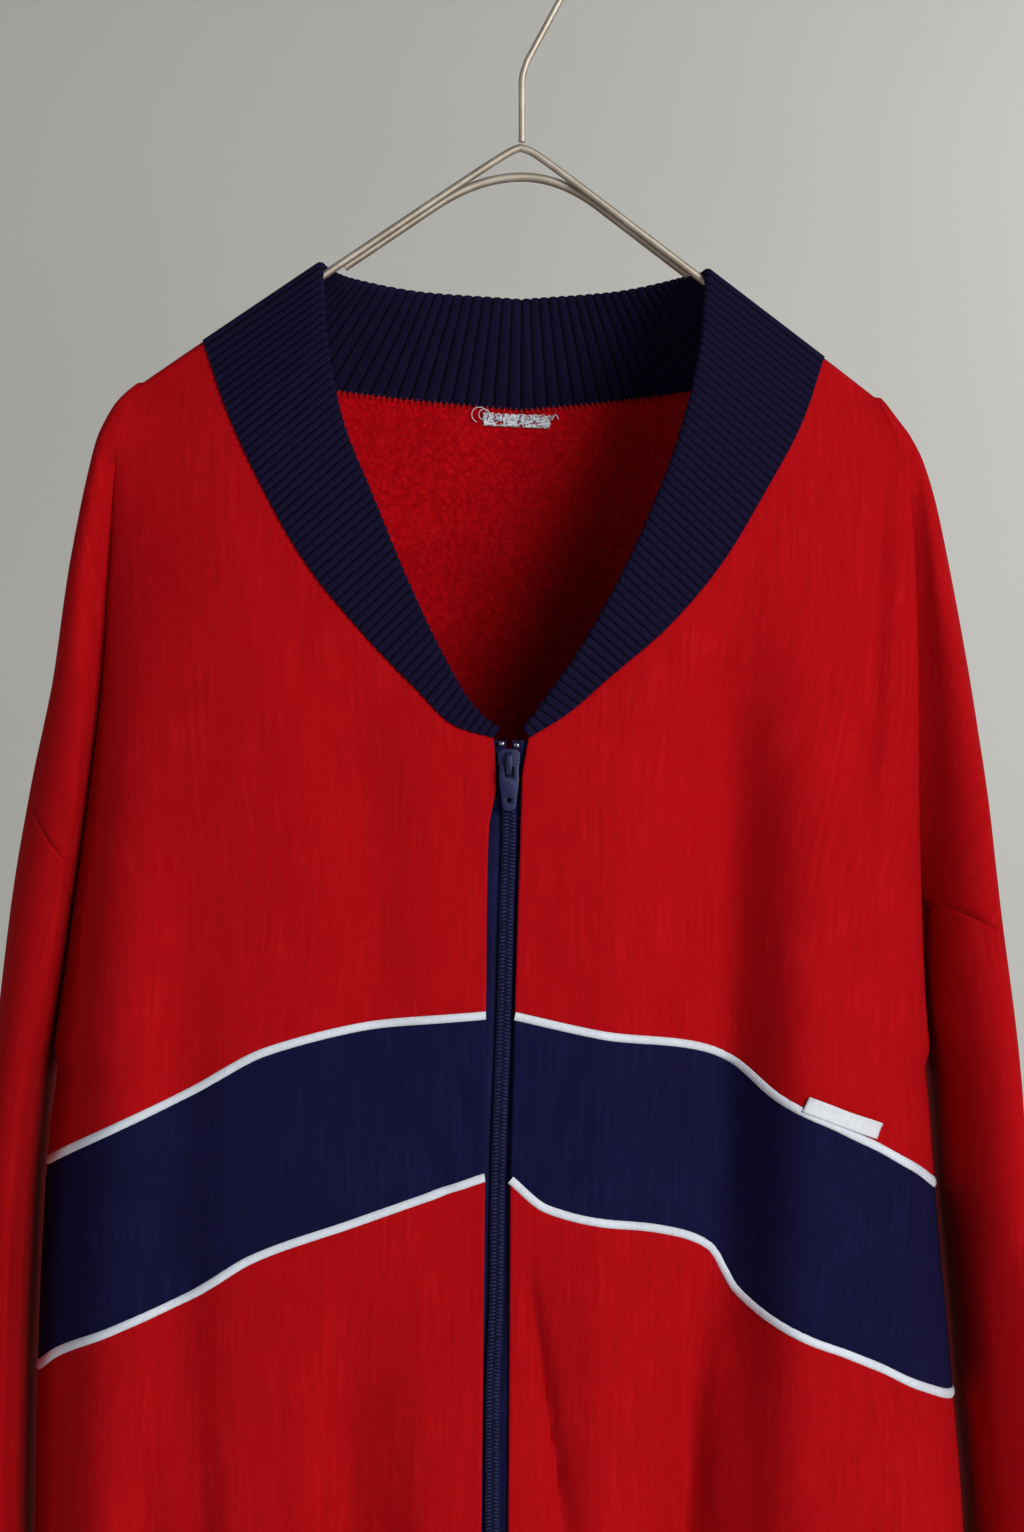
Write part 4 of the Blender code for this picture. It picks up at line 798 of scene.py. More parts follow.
def sleeve_columns(side):
    """Where a sleeve's columns start on the armhole seam: (angle, height, the face if in the fold)."""

    def half(face):
        lobe, fold = [], []
        for step in range(LOBE_STEPS - 1, 0, -1):
            share = step / LOBE_STEPS
            z = side.armhole(share)
            lobe.append((mix(side.fold_angle(face, z), 0.0, share), z, None))
        for step in range(FOLD_COLUMNS_ON_SLEEVE):
            z = mix(SEAM_LEAVES_FOLD, ARMPIT, step / FOLD_COLUMNS_ON_SLEEVE)
            fold.append((side.fold_angle(face, z), z, face))
        return lobe + fold

    outline = [(0.0, side.armhole(1), None)]
    underarm = [(math.pi, ARMPIT - 1.0, None)]
    return outline + half(FRONT) + underarm + half(BACK)[::-1]


def sleeve(side, finishes):
    rows = []
    columns = sleeve_columns(side)
    for i in range(SLEEVE_ROWS + 1):
        share = (i / SLEEVE_ROWS) ** SLEEVE_ROW_SPREAD
        row = []
        for angle, top, face in columns:
            z = mix(top, CUFF_SEAM, share)
            if i == 0 and face:
                x = side.side_x(z)
                row.append(side.world((x + 1.0, side.body_y(face, x, z), z)))
            else:
                row.append(side.on_sleeve(angle, z))
        rows.append(row + row[:1])
    cloth_piece("sleeve_" + side.name, [with_lengths(rows)], side.away_from_sleeve, finishes)


def rib_lift(phase):
    """How far a rib stands up, from the groove at phase 0 to the ridge at half."""
    return RIB_RAISE * abs(math.sin(math.pi * phase)) ** RIB_ROUNDNESS


def doubled_rib(name, columns, closed, outward, finish):
    """Rib knit folded double. Each column is (line, phase), a line of (point, normal) from seam to fold."""
    bm = bmesh.new()
    rows = []
    step_width = RIB_PITCH * MM / RIB_SAMPLES
    for i, (line, phase) in enumerate(columns):
        half = (BAND_HALF + rib_lift(phase)) * MM
        points = [point + normal * half for point, normal in line]
        end, normal = line[-1]
        along = (end - line[-2][0]).normalized()
        for step in range(1, FOLD_OF_RIB_STEPS):
            turn = math.pi * step / FOLD_OF_RIB_STEPS
            points.append(end + (normal * math.cos(turn) + along * math.sin(turn)) * half)
        points += [point - normal * half for point, normal in reversed(line)]
        lengths = [0.0]
        for before, point in zip(points, points[1:]):
            lengths.append(lengths[-1] + (point - before).length)
        rows = rows or [[] for _ in points]
        for row, point, v in zip(rows, points, lengths):
            row.append((point, (i * step_width, v)))
    if closed:
        for row in rows:
            row.append((row[0][0], (len(columns) * step_width, row[0][1][1])))
    middle = len(rows) // 2
    lay_grid(bm, rows[:middle], outward)
    lay_grid(bm, rows[middle - 1 :], lambda point: -outward(point))
    bmesh.ops.remove_doubles(bm, verts=bm.verts, dist=0.005 * MM)
    to_object(name, bm, [finish], nodes=(name,), smooth_angle=70)


def between_points(start, end, steps):
    """Points (x, z) along a straight line."""
    return [(mix(start[0], end[0], i / steps), mix(start[1], end[1], i / steps)) for i in range(steps + 1)]


def collar_line(side, face, share):
    """Points on the collar from its seam to its free edge, in metres."""
    if face == FRONT:
        edge = side.neck["edge_x"](share), side.neck["edge_z"](share)
        points = between_points(side.front_neck(share), edge, COLLAR_STEPS)
        return [side.on_body(FRONT, x, z) for x, z in points]
    seam = side.on_body(BACK, *side.rear_neck(share))
    edge_x = side.back_neck["edge_x"](share) * side.edge_x
    level = mix(side.ridge(side.edge_x), BACK_EDGE_LEVEL, smooth(share / 0.3))
    level -= side.back_neck["edge_drop"](share)
    edge = side.world((edge_x, side.back_neck["edge_y"](share), level))
    return [seam.lerp(edge, i / COLLAR_STEPS) for i in range(COLLAR_STEPS + 1)]


def collar(finish):
    samples = RIB_SAMPLES
    front, back = FRONT_RIBS * samples, BACK_NECK_RIBS * samples
    route = [(LEFT, FRONT, 1 - i / front) for i in range(front)]
    route += [(LEFT, BACK, i / back) for i in range(back)]
    route += [(RIGHT, BACK, 1 - i / back) for i in range(back)]
    route += [(RIGHT, FRONT, i / front) for i in range(front + 1)]
    lines = [collar_line(side, face, share) for side, face, share in route]
    columns = []
    for i, (side, face, share) in enumerate(route):
        ahead, behind = lines[min(i + 2, len(lines) - 1)], lines[max(i - 2, 0)]
        across = lines[i][-1] - lines[i][0]
        column = []
        for j, point in enumerate(lines[i]):
            normal = (ahead[j] - behind[j]).cross(across).normalized()
            if normal.dot(collar_facing(point)) < 0:
                normal = -normal
            column.append((point, normal))
        columns.append((column, (i / samples) % 1.0))
    doubled_rib("collar", columns, False, collar_facing, finish)


def collar_facing(point):
    """Away from the neck's middle, which lies under the hanger."""
    return Vector((point.x * 0.4, point.y - 4 * MM, 0.35 * abs(point.x)))


def even(line, count):
    """count + 1 points evenly spaced along a line."""
    lengths = [0.0]
    for a, b in zip(line, line[1:]):
        lengths.append(lengths[-1] + (b - a).length)
    points = []
    for i in range(count + 1):
        target = lengths[-1] * i / count
        k = min(max(bisect.bisect_right(lengths, target), 1), len(lengths) - 1)
        span = max(lengths[k] - lengths[k - 1], 1e-9)
        points.append(line[k - 1].lerp(line[k], (target - lengths[k - 1]) / span))
    return points


def body_ring(z):
    """The hem's plan from the left zip edge round the back to the right one."""
    inwards = [math.cos(math.pi / 2 * i / HEM_PLAN_STEPS) for i in range(HEM_PLAN_STEPS + 1)]
    line = []
    outwards = inwards[::-1]
    for side, face, shares in (
        (LEFT, FRONT, outwards), (LEFT, BACK, inwards), (RIGHT, BACK, outwards), (RIGHT, FRONT, inwards)
    ):
        start = side.centre_edge(z) if face == FRONT else 0.0
        for share in shares:
            x = mix(start, side.side_x(z), share)
            line.append(side.world((x, side.body_y(face, x, z), z)))
    return line


def rib_tube(name, plan, seam, bottom, closed, turn, outward, finish):
    """A rib band hanging from a seam. plan(z) is its line, and turn is 1 where that runs anticlockwise."""
    fold = bottom + BAND_HALF + RIB_RAISE
    heights = [mix(seam, fold, i / BAND_STEPS) for i in range(BAND_STEPS + 1)]
    first = plan(heights[0])
    length = sum((b - a).length for a, b in zip(first, first[1:])) / MM
    count = round(length / RIB_PITCH) * RIB_SAMPLES
    rings = [even(plan(z), count) for z in heights]
    if closed:
        rings = [ring[:-1] for ring in rings]
    size = len(rings[0])
    columns = []
    for i in range(size):
        column = []
        for ring in rings:
            ahead = ring[(i + 1) % size] if closed else ring[min(i + 1, size - 1)]
            behind = ring[i - 1] if closed else ring[max(i - 1, 0)]
            along = (ahead - behind) * turn
            column.append((ring[i], Vector((along.y, -along.x, 0)).normalized()))
        columns.append((column, (i / RIB_SAMPLES) % 1.0))
    doubled_rib(name, columns, closed, outward, finish)


def hem_band(finish):
    def outward(point):
        return Vector((point.x * 0.2, point.y - 4 * MM, 0))

    rib_tube("hem_band", body_ring, BODY_HEM_SEAM, HEM_BOTTOM, False, -1, outward, finish)


def cuff(side, finish):
    def outline(z):
        steps = range(CUFF_PLAN_STEPS + 1)
        return [side.on_sleeve(math.pi * (1 - 2 * i / CUFF_PLAN_STEPS), z) for i in steps]

    name = "cuff_" + side.name
    rib_tube(name, outline, CUFF_SEAM, CUFF_BOTTOM, True, side.sign, side.away_from_sleeve, finish)


# ---- zip, labels, stitches and hanger ----


def zip_tape(side, finish):
    """The tape lies flat under the front's edge and is rolled forward beside the coil."""
    rows = []
    for i in range(TAPE_STEPS + 1):
        z = mix(ZIP_TOP, CHAIN_BOTTOM - TAPE_BELOW_CHAIN, i / TAPE_STEPS)
        row = []
        for across, behind in TAPE_SECTION:
            x = zip_x(z) + side.sign * across
            row.append(Vector((x, side.body_y(FRONT, side.sign * x, z) + behind, z)) * MM)
        rows.append(row)
    bm = bmesh.new()
    lay_grid(bm, with_lengths(rows), (0, FRONT, 0))
    name = "zip_tape_" + side.name
    thicken(to_object(name, bm, [finish], nodes=(name,)), TAPE_THICKNESS * MM)


def zip_chain(tape, coil):
    """Two rows of coil teeth over a stitched cord."""
    bm = bmesh.new()
    rows = []
    for i in range(CORD_STEPS + 1):
        z = mix(SLIDER_TOP - 4, CHAIN_BOTTOM, i / CORD_STEPS)
        middle = zip_y(z)
        rows.append([Vector((zip_x(z) + x, middle + y, z)) * MM for x, y in CORD_SECTION])
    cord = lay_grid(bm, with_lengths(rows), (0, FRONT, 0))
    bmesh.ops.solidify(bm, geom=cord, thickness=CORD_THICKNESS * MM)
    cord_faces = set(bm.faces)
    size = Matrix.Diagonal((*(half * MM for half in COIL_TOOTH), 1.0))
    for i in range(int((COIL_TOP - CHAIN_BOTTOM) / COIL_PITCH)):
        for sign in (-1, 1):
            z = COIL_TOP - (i + (0.5 if sign > 0 else 0.0)) * COIL_PITCH
            lean = Matrix.Rotation(sign * COIL_LEAN, 4, "Y")
            place = Matrix.Translation(Vector((zip_x(z) + sign * COIL_OFFSET, zip_y(z) - COIL_PROUD, z)) * MM)
            bmesh.ops.create_uvsphere(bm, u_segments=8, v_segments=5, radius=1.0, matrix=place @ lean @ size)
    for face in bm.faces:
        if face not in cord_faces:
            face.material_index = 1
    to_object("zip_chain", bm, [tape, coil], nodes=("zip_chain",))


def draw_out(bm, faces, depth):
    """Gives flat faces a depth along Y, in millimetres."""
    made = bmesh.ops.extrude_face_region(bm, geom=faces)["geom"]
    moved = [item for item in made if isinstance(item, bmesh.types.BMVert)]
    bmesh.ops.translate(bm, vec=(0, depth * MM, 0), verts=moved)


def round_edges(bm, edges, radius, segments):
    bmesh.ops.bevel(
        bm, geom=edges, offset=radius * MM, segments=segments, profile=0.5, affect="EDGES", material=-1,
        clamp_overlap=True,
    )


def both_halves(half, x, top):
    """A closed outline (x, z) from the (half width, drop) of its right half."""
    right = [(x + width, top - drop) for width, drop in half]
    return right + [(2 * x - px, z) for px, z in reversed(right)]


def rounded_plate(bm, outline, front, back, bevel):
    """A flat plate with the outline (x, z) in millimetres, its edges rounded."""
    before = set(bm.faces)
    draw_out(bm, [bm.faces.new([bm.verts.new(Vector((x, front, z)) * MM) for x, z in outline])], back - front)
    faces = [item for item in bm.faces if item not in before]
    bmesh.ops.recalc_face_normals(bm, faces=faces)
    rims = [
        edge for face in faces for edge in face.edges if abs((edge.verts[0].co - edge.verts[1].co).y) < 1e-7
    ]
    rims = [edge for edge in dict.fromkeys(rims) if edge.calc_face_angle(0.0) > math.radians(40)]
    round_edges(bm, rims, bevel, 3)


def slider_place():
    """The slider's middle on X and the cloth's middle surface there."""
    return zip_x(SLIDER_TOP), zip_y((SLIDER_TOP + SLIDER_BOTTOM) / 2)


def zip_slider(enamel_finish):
    x, cloth = slider_place()
    outline = both_halves(SLIDER_OUTLINE, x, SLIDER_TOP)
    plate_front, plate_back = (cloth + depth for depth in SLIDER_PLATE)
    under_front, under_back = (cloth + depth for depth in SLIDER_UNDER)
    bm = bmesh.new()
    rounded_plate(bm, outline, plate_front, plate_back, PLATE_ROUND)
    rounded_plate(bm, outline, under_front, under_back, UNDER_ROUND)
    post = both_halves(SLIDER_POST, x, SLIDER_TOP)
    rounded_plate(bm, post, plate_back - 0.2, under_front + 0.2, FINE_ROUND)
    for sign in (-1, 1):
        flange = [(x + sign * across, SLIDER_TOP - drop) for across, drop in SLIDER_FLANGE]
        rounded_plate(bm, flange, plate_back - 0.2, cloth - 0.4, FINE_ROUND)
    bridge = [Vector((x, plate_front + y, SLIDER_TOP + z)) for z, y in SLIDER_BRIDGE]
    width, depth = BRIDGE_SIZE
    for a, b in zip(bridge, bridge[1:]):
        turn = (b - a).to_track_quat("Z", "X").to_matrix().to_4x4()
        size = Matrix.Diagonal((width * MM, depth * MM, ((b - a).length + BRIDGE_OVERLAP) * MM, 1.0))
        place = Matrix.Translation((a + b) / 2 * MM) @ turn @ size
        made = bmesh.ops.create_cube(bm, size=1.0, matrix=place)["verts"]
        edges = list(dict.fromkeys(edge for vert in made for edge in vert.link_edges))
        round_edges(bm, edges, BAR_ROUND, 2)
    to_object("zip_slider", bm, [enamel_finish], nodes=("zip_slider",), smooth_angle=40)


def pull_tab(enamel_finish):
    """A flat tab with a window at the top for the bridge and a round hole, on its bar."""
    x, cloth = slider_place()
    y = cloth + SLIDER_PLATE[0] - TAB_AXIS_PROUD - TAB_HALF
    bm = bmesh.new()
    hole = []
    for i in range(14):
        turn = 2 * math.pi * i / 14
        hole.append((
            x + TAB_HOLE_RADIUS * math.cos(turn),
            TAB_AXIS_HEIGHT - TAB_HOLE_DROP + TAB_HOLE_RADIUS * math.sin(turn),
        ))
    loops = []
    for ring in (
        both_halves(TAB_OUTLINE, x, TAB_AXIS_HEIGHT), both_halves(TAB_WINDOW, x, TAB_AXIS_HEIGHT), hole,
    ):
        verts = [bm.verts.new(Vector((px, y, pz)) * MM) for px, pz in ring]
        loops += [bm.edges.new((a, b)) for a, b in zip(verts, verts[1:] + verts[:1])]
    filled = bmesh.ops.triangle_fill(bm, use_beauty=True, edges=loops)["geom"]
    draw_out(bm, [item for item in filled if isinstance(item, bmesh.types.BMFace)], 2 * TAB_HALF)
    bmesh.ops.recalc_face_normals(bm, faces=bm.faces)
    rims = [edge for edge in bm.edges if edge.calc_face_angle(0.0) > math.radians(60)]
    round_edges(bm, rims, BAR_ROUND, 2)
    to_object(
        "pull_tab", bm, [enamel_finish], nodes=("pull_tab",), body="pull_tab", smooth_angle=40
    )


def zip_ends(silver, enamel_finish):
    """The two stops bent over the tape's edges at the top, and the box at the bottom."""
    x, cloth = slider_place()
    for name, offset, drop in (("zip_stop_left", -STOP_OFFSET, 0.5), ("zip_stop_right", STOP_OFFSET, 1.1)):
        bm = bmesh.new()
        outline = both_halves(STOP_OUTLINE, x + offset, ZIP_TOP - drop)
        rounded_plate(bm, outline, cloth - 1.4, cloth + 1.1, STOP_ROUND)
        to_object(name, bm, [silver], nodes=(name,), smooth_angle=60)
    x, cloth, top = zip_x(CHAIN_BOTTOM), zip_y(CHAIN_BOTTOM - ZIP_BOX_HEIGHT / 2), CHAIN_BOTTOM - 0.3
    bm = bmesh.new()
    rounded_plate(bm, both_halves(ZIP_BOX_OUTLINE, x, top), cloth - 1.6, cloth + 1.1, BOX_ROUND)
    rounded_plate(bm, both_halves(ZIP_BOX_SLOT, x, top), cloth - 1.8, cloth - 1.5, FINE_ROUND)
    to_object("zip_box", bm, [enamel_finish], nodes=("zip_box",), smooth_angle=40)


def thread(name, lines, radius, finish, slot, nodes=()):
    """Round threads or wires through points in metres, with closed ends, as one mesh."""
    curve = bpy.data.curves.new(name, "CURVE")
    curve.dimensions = "3D"
    curve.bevel_depth = radius * MM
    curve.bevel_resolution = 1 if radius < 1 else 5
    curve.use_fill_caps = True
    for points in lines:
        spline = curve.splines.new("POLY")
        spline.points.add(len(points) - 1)
        for place, point in zip(spline.points, points):
            place.co = (*point, 1.0)
    shape = bpy.data.objects.new(name + "_line", curve)
    bm = bmesh.new()
    bm.from_mesh(bpy.data.meshes.new_from_object(shape))
    bpy.data.objects.remove(shape)
    bmesh.ops.recalc_face_normals(bm, faces=bm.faces)
    to_object(name, bm, [finish], nodes=nodes, smooth_angle=60)


def label(name, side, face, place, lift, corners, finish):
    """A flat strip of woven label along a line on the body. corners lift its ends a little."""
    start, end, half = place
    along = Vector((end[0] - start[0], end[1] - start[1])).normalized()
    rows = []
    for i in range(LABEL_ROWS + 1):
        across = 2 * i / LABEL_ROWS - 1
        row = []
        for step in range(LABEL_STEPS + 1):
            share = step / LABEL_STEPS
            x = mix(start[0], end[0], share) - along.y * half * across
            z = mix(start[1], end[1], share) + along.x * half * across
            curl = corners * (max(0.0, across) ** 2) * (0.6 + 0.4 * math.sin(share * 9.0))
            row.append(side.on_body(face, x, z, lift + curl))
        rows.append(row)
    bm = bmesh.new()
    lay_grid(bm, with_lengths(rows), (0, FRONT, 0))
    thicken(to_object(name, bm, [finish], nodes=(name,)), LABEL_THICKNESS * MM)


def overlock(finish):
    """The stitches that whip the collar's seam to the back, on the inside."""
    lines = []
    for side in SIDES:
        for i in range(OVERLOCK_STITCHES):
            share = 0.12 + 0.88 * i / (OVERLOCK_STITCHES - 1)
            x, z = side.rear_neck(share)
            low = side.on_body(BACK, x + 0.5, z - 2.2, -1.4)
            high = side.on_body(BACK, max(0.0, x - 0.4), z - 0.1, -2.3)
            middle = (low + high) / 2 + Vector((0, -0.9 * MM, 0))
            lines.append([low, middle, high])
    thread("neck_overlock", lines, 0.26, finish, "red_fleece")


def label_threads(finish):
    """What is left of the neck label's stitching: two loops of loose thread and some ends."""
    lines = []
    x0, z0 = THREADS_START
    for radius, lean, shift in ((3.6, 0.25, -3.0), (2.5, -0.35, -0.8)):
        loop = []
        for i in range(22):
            turn = math.radians(-40 + 290 * i / 21)
            x = x0 + shift + radius * math.cos(turn)
            z = z0 + 1.2 + radius * 0.95 * math.sin(turn)
            y = LEFT.body_y(BACK, -x, z) - 2.0 - 1.4 * math.sin(math.pi * i / 21) + lean
            loop.append(Vector((x, y, z)) * MM)
        lines.append(loop)
    for i in range(15):
        x = x0 + 2 + i * 2.05
        z = z0 + 0.4 * math.sin(i * 2.3)
        points = []
        for step in range(5):
            px = x + step * 0.75
            pz = z + 1.3 * math.sin(i * 1.7 + step * 1.4)
            points.append(Vector((px, LEFT.body_y(BACK, -px, pz) - 2.1 - 0.3 * (step % 2), pz)) * MM)
        lines.append(points)
    thread("neck_label_threads", lines, 0.22, finish, "white_trim")


def arch_half(side):
    """The arch from its top to one end: a curve that becomes tangent to the arm, and then its line."""
    slope = ROD_SLOPE[side.name]
    rise = ROD_TOP - ARCH_UNDER - ARCH_TOP
    meets = 2 * rise / slope
    curve = [(meets * i / 24, ARCH_TOP - slope * meets * (i / 24) ** 2 / 2) for i in range(25)]
    far = [mix(meets, ARCH_END_X[side.name], i / 8) for i in range(1, 9)]
    line = curve + [(x, ARCH_TOP + rise - slope * x) for x in far]
    return [Vector((side.sign * x, ARCH_BEHIND, z)) * MM for x, z in line]


def hanger(nickel):
    for side in SIDES:
        slope = ROD_SLOPE[side.name]
        xs = [mix(0.0, ARM_TIP_X[side.name], (i / 60) ** 2) for i in range(61)]
        points = [Vector((side.sign * x, 0, ROD_TOP - slope * math.hypot(x, ROD_BEND))) * MM for x in xs]
        name = "hanger_arm_" + side.name
        thread(name, [points], ARM_RADIUS, nickel, "nickel", (name,))
    left, right = (arch_half(side) for side in SIDES)
    thread("hanger_arch", [left[:0:-1] + right], ARCH_RADIUS, nickel, "nickel", ("hanger_arch",))

    loop_z = -HOOK_LOOP_RADIUS + HOOK_RADIUS
    neck_to_loop = loop_z - HOOK_NECK
    lean = math.asin(HOOK_LOOP_RADIUS / neck_to_loop)
    straight = neck_to_loop * math.cos(lean)
    points = [(0, HOOK_FOOT)]
    points += [(x, HOOK_NECK + rise) for x, rise in ((0, -6), (0.06, -4), (0.3, -2), (0.9, 0), (1.6, 2.0))]
    for reach in (4.5, straight * 0.35, straight * 0.7, straight * 0.97):
        points.append((reach * math.sin(lean), HOOK_NECK + reach * math.cos(lean)))
    end = math.radians(HOOK_END_ANGLE)
    for i in range(49):
        angle = mix(-lean, end, i / 48)
        points.append((HOOK_LOOP_RADIUS * math.cos(angle), loop_z + HOOK_LOOP_RADIUS * math.sin(angle)))
    line = [Vector((x, 0, z)) * MM for x, z in points]
    thread("hanger_hook", [line], HOOK_RADIUS, nickel, "nickel", ("hanger_hook",))


# ---- finishes ----


def linear(*channels):
    """An sRGB colour of 0 to 255 as the numbers a shader takes."""
    return tuple((c / 255 / 12.92) if c <= 10 else ((c / 255 + 0.055) / 1.055) ** 2.4 for c in channels)


class Number:
    """A number on a shader's wire. Expressions on it add Math nodes."""

    def __init__(self, finish, socket):
        self.finish, self.socket = finish, socket

    def math(self, operation, *others):
        made = self.finish.node("ShaderNodeMath", {"operation": operation}, self, *others)
        return Number(self.finish, made.outputs[0])

    def __add__(self, other):
        return self.math("ADD", other)

    __radd__ = __add__

    def __mul__(self, other):
        return self.math("MULTIPLY", other)

    __rmul__ = __mul__

    def __sub__(self, other):
        return self.math("SUBTRACT", other)

    def __rsub__(self, other):
        return (self * -1.0) + other

    def __truediv__(self, other):
        return self.math("DIVIDE", other)

    def __pow__(self, other):
        return self.math("POWER", other)

    def __abs__(self):
        return self.math("ABSOLUTE")

    def fract(self):
        return self.math("FRACT")

    def sin(self):
        return self.math("SINE")

    def above(self, low, high):
        """0 below low and 1 above high, with a soft step between."""
        kind = {"interpolation_type": "SMOOTHSTEP"}
        made = self.finish.node("ShaderNodeMapRange", kind, self, low, high, 0.0, 1.0)
        return Number(self.finish, made.outputs[0])


class Finish:
    """A material under construction, with one Principled shader."""

    def __init__(self, name):
        self.material = bpy.data.materials.new(name + "_finish")
        self.material.use_nodes = True
        self.tree = self.material.node_tree
        self.shader = self.tree.nodes["Principled BSDF"]

    def node(self, kind, settings=None, *values, **named):
        made = self.tree.nodes.new(kind)
        for key, value in (settings or {}).items():
            setattr(made, key, value)
        for socket, value in zip(made.inputs, values):
            self.feed(socket, value)
        for key, value in named.items():
            self.feed(made.inputs[key], value)
        return made

    def feed(self, socket, value):
        if isinstance(value, Number):
            value = value.socket
        if isinstance(value, bpy.types.NodeSocket):
            self.tree.links.new(value, socket)
        elif value is not None:
            socket.default_value = (*value[:3], 1.0) if socket.type == "RGBA" else value

    def across_and_down(self):
        """The piece's own UV map, in metres."""
        place = self.node("ShaderNodeUVMap", {"uv_map": "UVMap"}).outputs[0]
        parts = self.node("ShaderNodeSeparateXYZ", None, place)
        return Number(self, parts.outputs[0]), Number(self, parts.outputs[1])

    def place(self):
        return self.node("ShaderNodeTexCoord").outputs["Object"]

    def vector(self, x, y, z=0.0):
        return self.node("ShaderNodeCombineXYZ", None, x, y, z).outputs[0]

    def noise(self, place, scale, detail=2.0, roughness=0.5):
        made = self.node(
            "ShaderNodeTexNoise", None, Vector=place, Scale=scale, Detail=detail, Roughness=roughness
        )
        return Number(self, made.outputs[0])

    def cells(self, place, scale):
        made = self.node("ShaderNodeTexVoronoi", {"feature": "F1"}, Vector=place, Scale=scale)
        return Number(self, made.outputs["Distance"])

    def blend(self, share, a, b):
        """Colour a where share is 0, and b where it is 1."""
        made = self.node("ShaderNodeMix", {"data_type": "RGBA", "blend_type": "MIX"}, share)
        self.feed(made.inputs[6], a)
        self.feed(made.inputs[7], b)
        return made.outputs[2]

    def bump(self, height, depth, strength=1.0):
        """Raises height, from 0 to 1, by depth in metres."""
        made = self.node("ShaderNodeBump", None, Strength=strength, Distance=depth, Height=height)
        self.feed(self.shader.inputs["Normal"], made.outputs[0])

    def set(self, **values):
        for key, value in values.items():
            self.feed(self.shader.inputs[key.replace("_", " ")], value)
        return self.material


def knit_height(u, v, wale, course):
    """The face of plain knitting: columns of V stitches, from 0 to 1."""
    leg = abs((u / wale).fract() - 0.5) * 2.0
    turn = (v / course + leg * 0.5).fract()
    return (turn * math.pi).sin() * (1.0 - leg**6.0)


def jersey(name, colour, dark, pale):
    """The smooth face of fleece-backed jersey, darker where its knit lies low as painted shade, with random
    mottle.
    """
    finish = Finish(name)
    u, v = finish.across_and_down()
    place = finish.place()
    stitch = knit_height(u, v, 1.05 * MM, 0.8 * MM)
    fuzz = finish.noise(place, 900.0, 3.0, 0.7)
    streak = finish.noise(finish.vector(u * 420.0, v * 26.0), 1.0, 3.0, 0.6)
    cloud = finish.noise(place, 16.0, 3.0, 0.6)
    # painted shade: where the stitch, fuzz and streak heights of the bump lie low, the colour turns dark; cloud
    # is random mottle
    tone = (stitch * 0.30 + fuzz * 0.55 + streak * 0.45 + cloud * 0.35).above(0.45, 1.15)
    base = finish.blend(tone, dark, colour)
    worn = (finish.noise(place, 55.0, 5.0, 0.75) * streak).above(0.24, 0.52)
    base = finish.blend(worn * 0.28, base, pale)
    finish.bump(stitch * 0.6 + fuzz * 0.7 + streak * 0.3, 0.22 * MM, 0.65)
    return finish.set(
        Base_Color=base, Roughness=0.82 + fuzz * 0.14, Specular_IOR_Level=0.05, Sheen_Weight=0.06,
        Sheen_Roughness=0.45, Sheen_Tint=pale,
    )


def fleece(name, colour, dark, pale):
    """The brushed inside: matted fibre in small clumps, with painted shade between the tufts and paler tops,
    partly pale fibre ends and partly painted highlight.
    """
    finish = Finish(name)
    place = finish.place()
    clump = finish.noise(place, 420.0, 4.0, 0.72)
    tuft = finish.cells(place, 380.0)
    patch = finish.noise(place, 34.0, 3.0, 0.6)
    # painted shade: low between the tufts, where the bump is low, the colour turns dark
    tone = (clump * 0.9 + patch * 0.4 - tuft * 0.35).above(0.25, 0.85)
    base = finish.blend(tone, dark, colour)
    # the highest clumps turn pale: partly pale fibre ends and partly painted highlight
    base = finish.blend(clump.above(0.58, 0.78) * 0.4, base, pale)
    finish.bump(clump - tuft * 0.5, 0.9 * MM, 0.8)
    return finish.set(
        Base_Color=base, Roughness=0.95, Specular_IOR_Level=0.03, Sheen_Weight=0.12, Sheen_Roughness=0.6,
        Sheen_Tint=pale,
    )


def rib_knit(name, ridge_colour, groove_shade_colour, pale):
    """Rib knit: stitched ridges with painted shade in the grooves between, in step with the ribs' own shape."""
    finish = Finish(name)
    u, v = finish.across_and_down()
    place = finish.place()
    phase = (u / (RIB_PITCH * MM)).fract()
    ridge = (phase * math.pi).sin()
    leg = abs(phase - 0.5) * 2.0
    stitch = ((v / (1.25 * MM) + leg * 0.6).fract() * math.pi).sin()
    fuzz = finish.noise(place, 1000.0, 3.0, 0.7)
    cloud = finish.noise(place, 22.0, 3.0, 0.6)
    # painted light: the ridges take the lit ridge colour, and the grooves take the dark colour as painted shade
    lit = ridge.above(0.12, 0.5) * (0.6 + fuzz * 0.35) * (0.8 + stitch * 0.2)
    tone = (lit + cloud * 0.1).above(0.1, 0.75)
    base = finish.blend(tone, groove_shade_colour, ridge_colour)
    base = finish.blend((fuzz * cloud).above(0.3, 0.45) * 0.15, base, pale)
    finish.bump(stitch * ridge * 0.8 + fuzz * 0.5, 0.25 * MM, 0.8)
    return finish.set(
        Base_Color=base, Roughness=0.86 + fuzz * 0.1, Specular_IOR_Level=0.05, Sheen_Weight=0.04,
        Sheen_Roughness=0.5, Sheen_Tint=pale,
    )


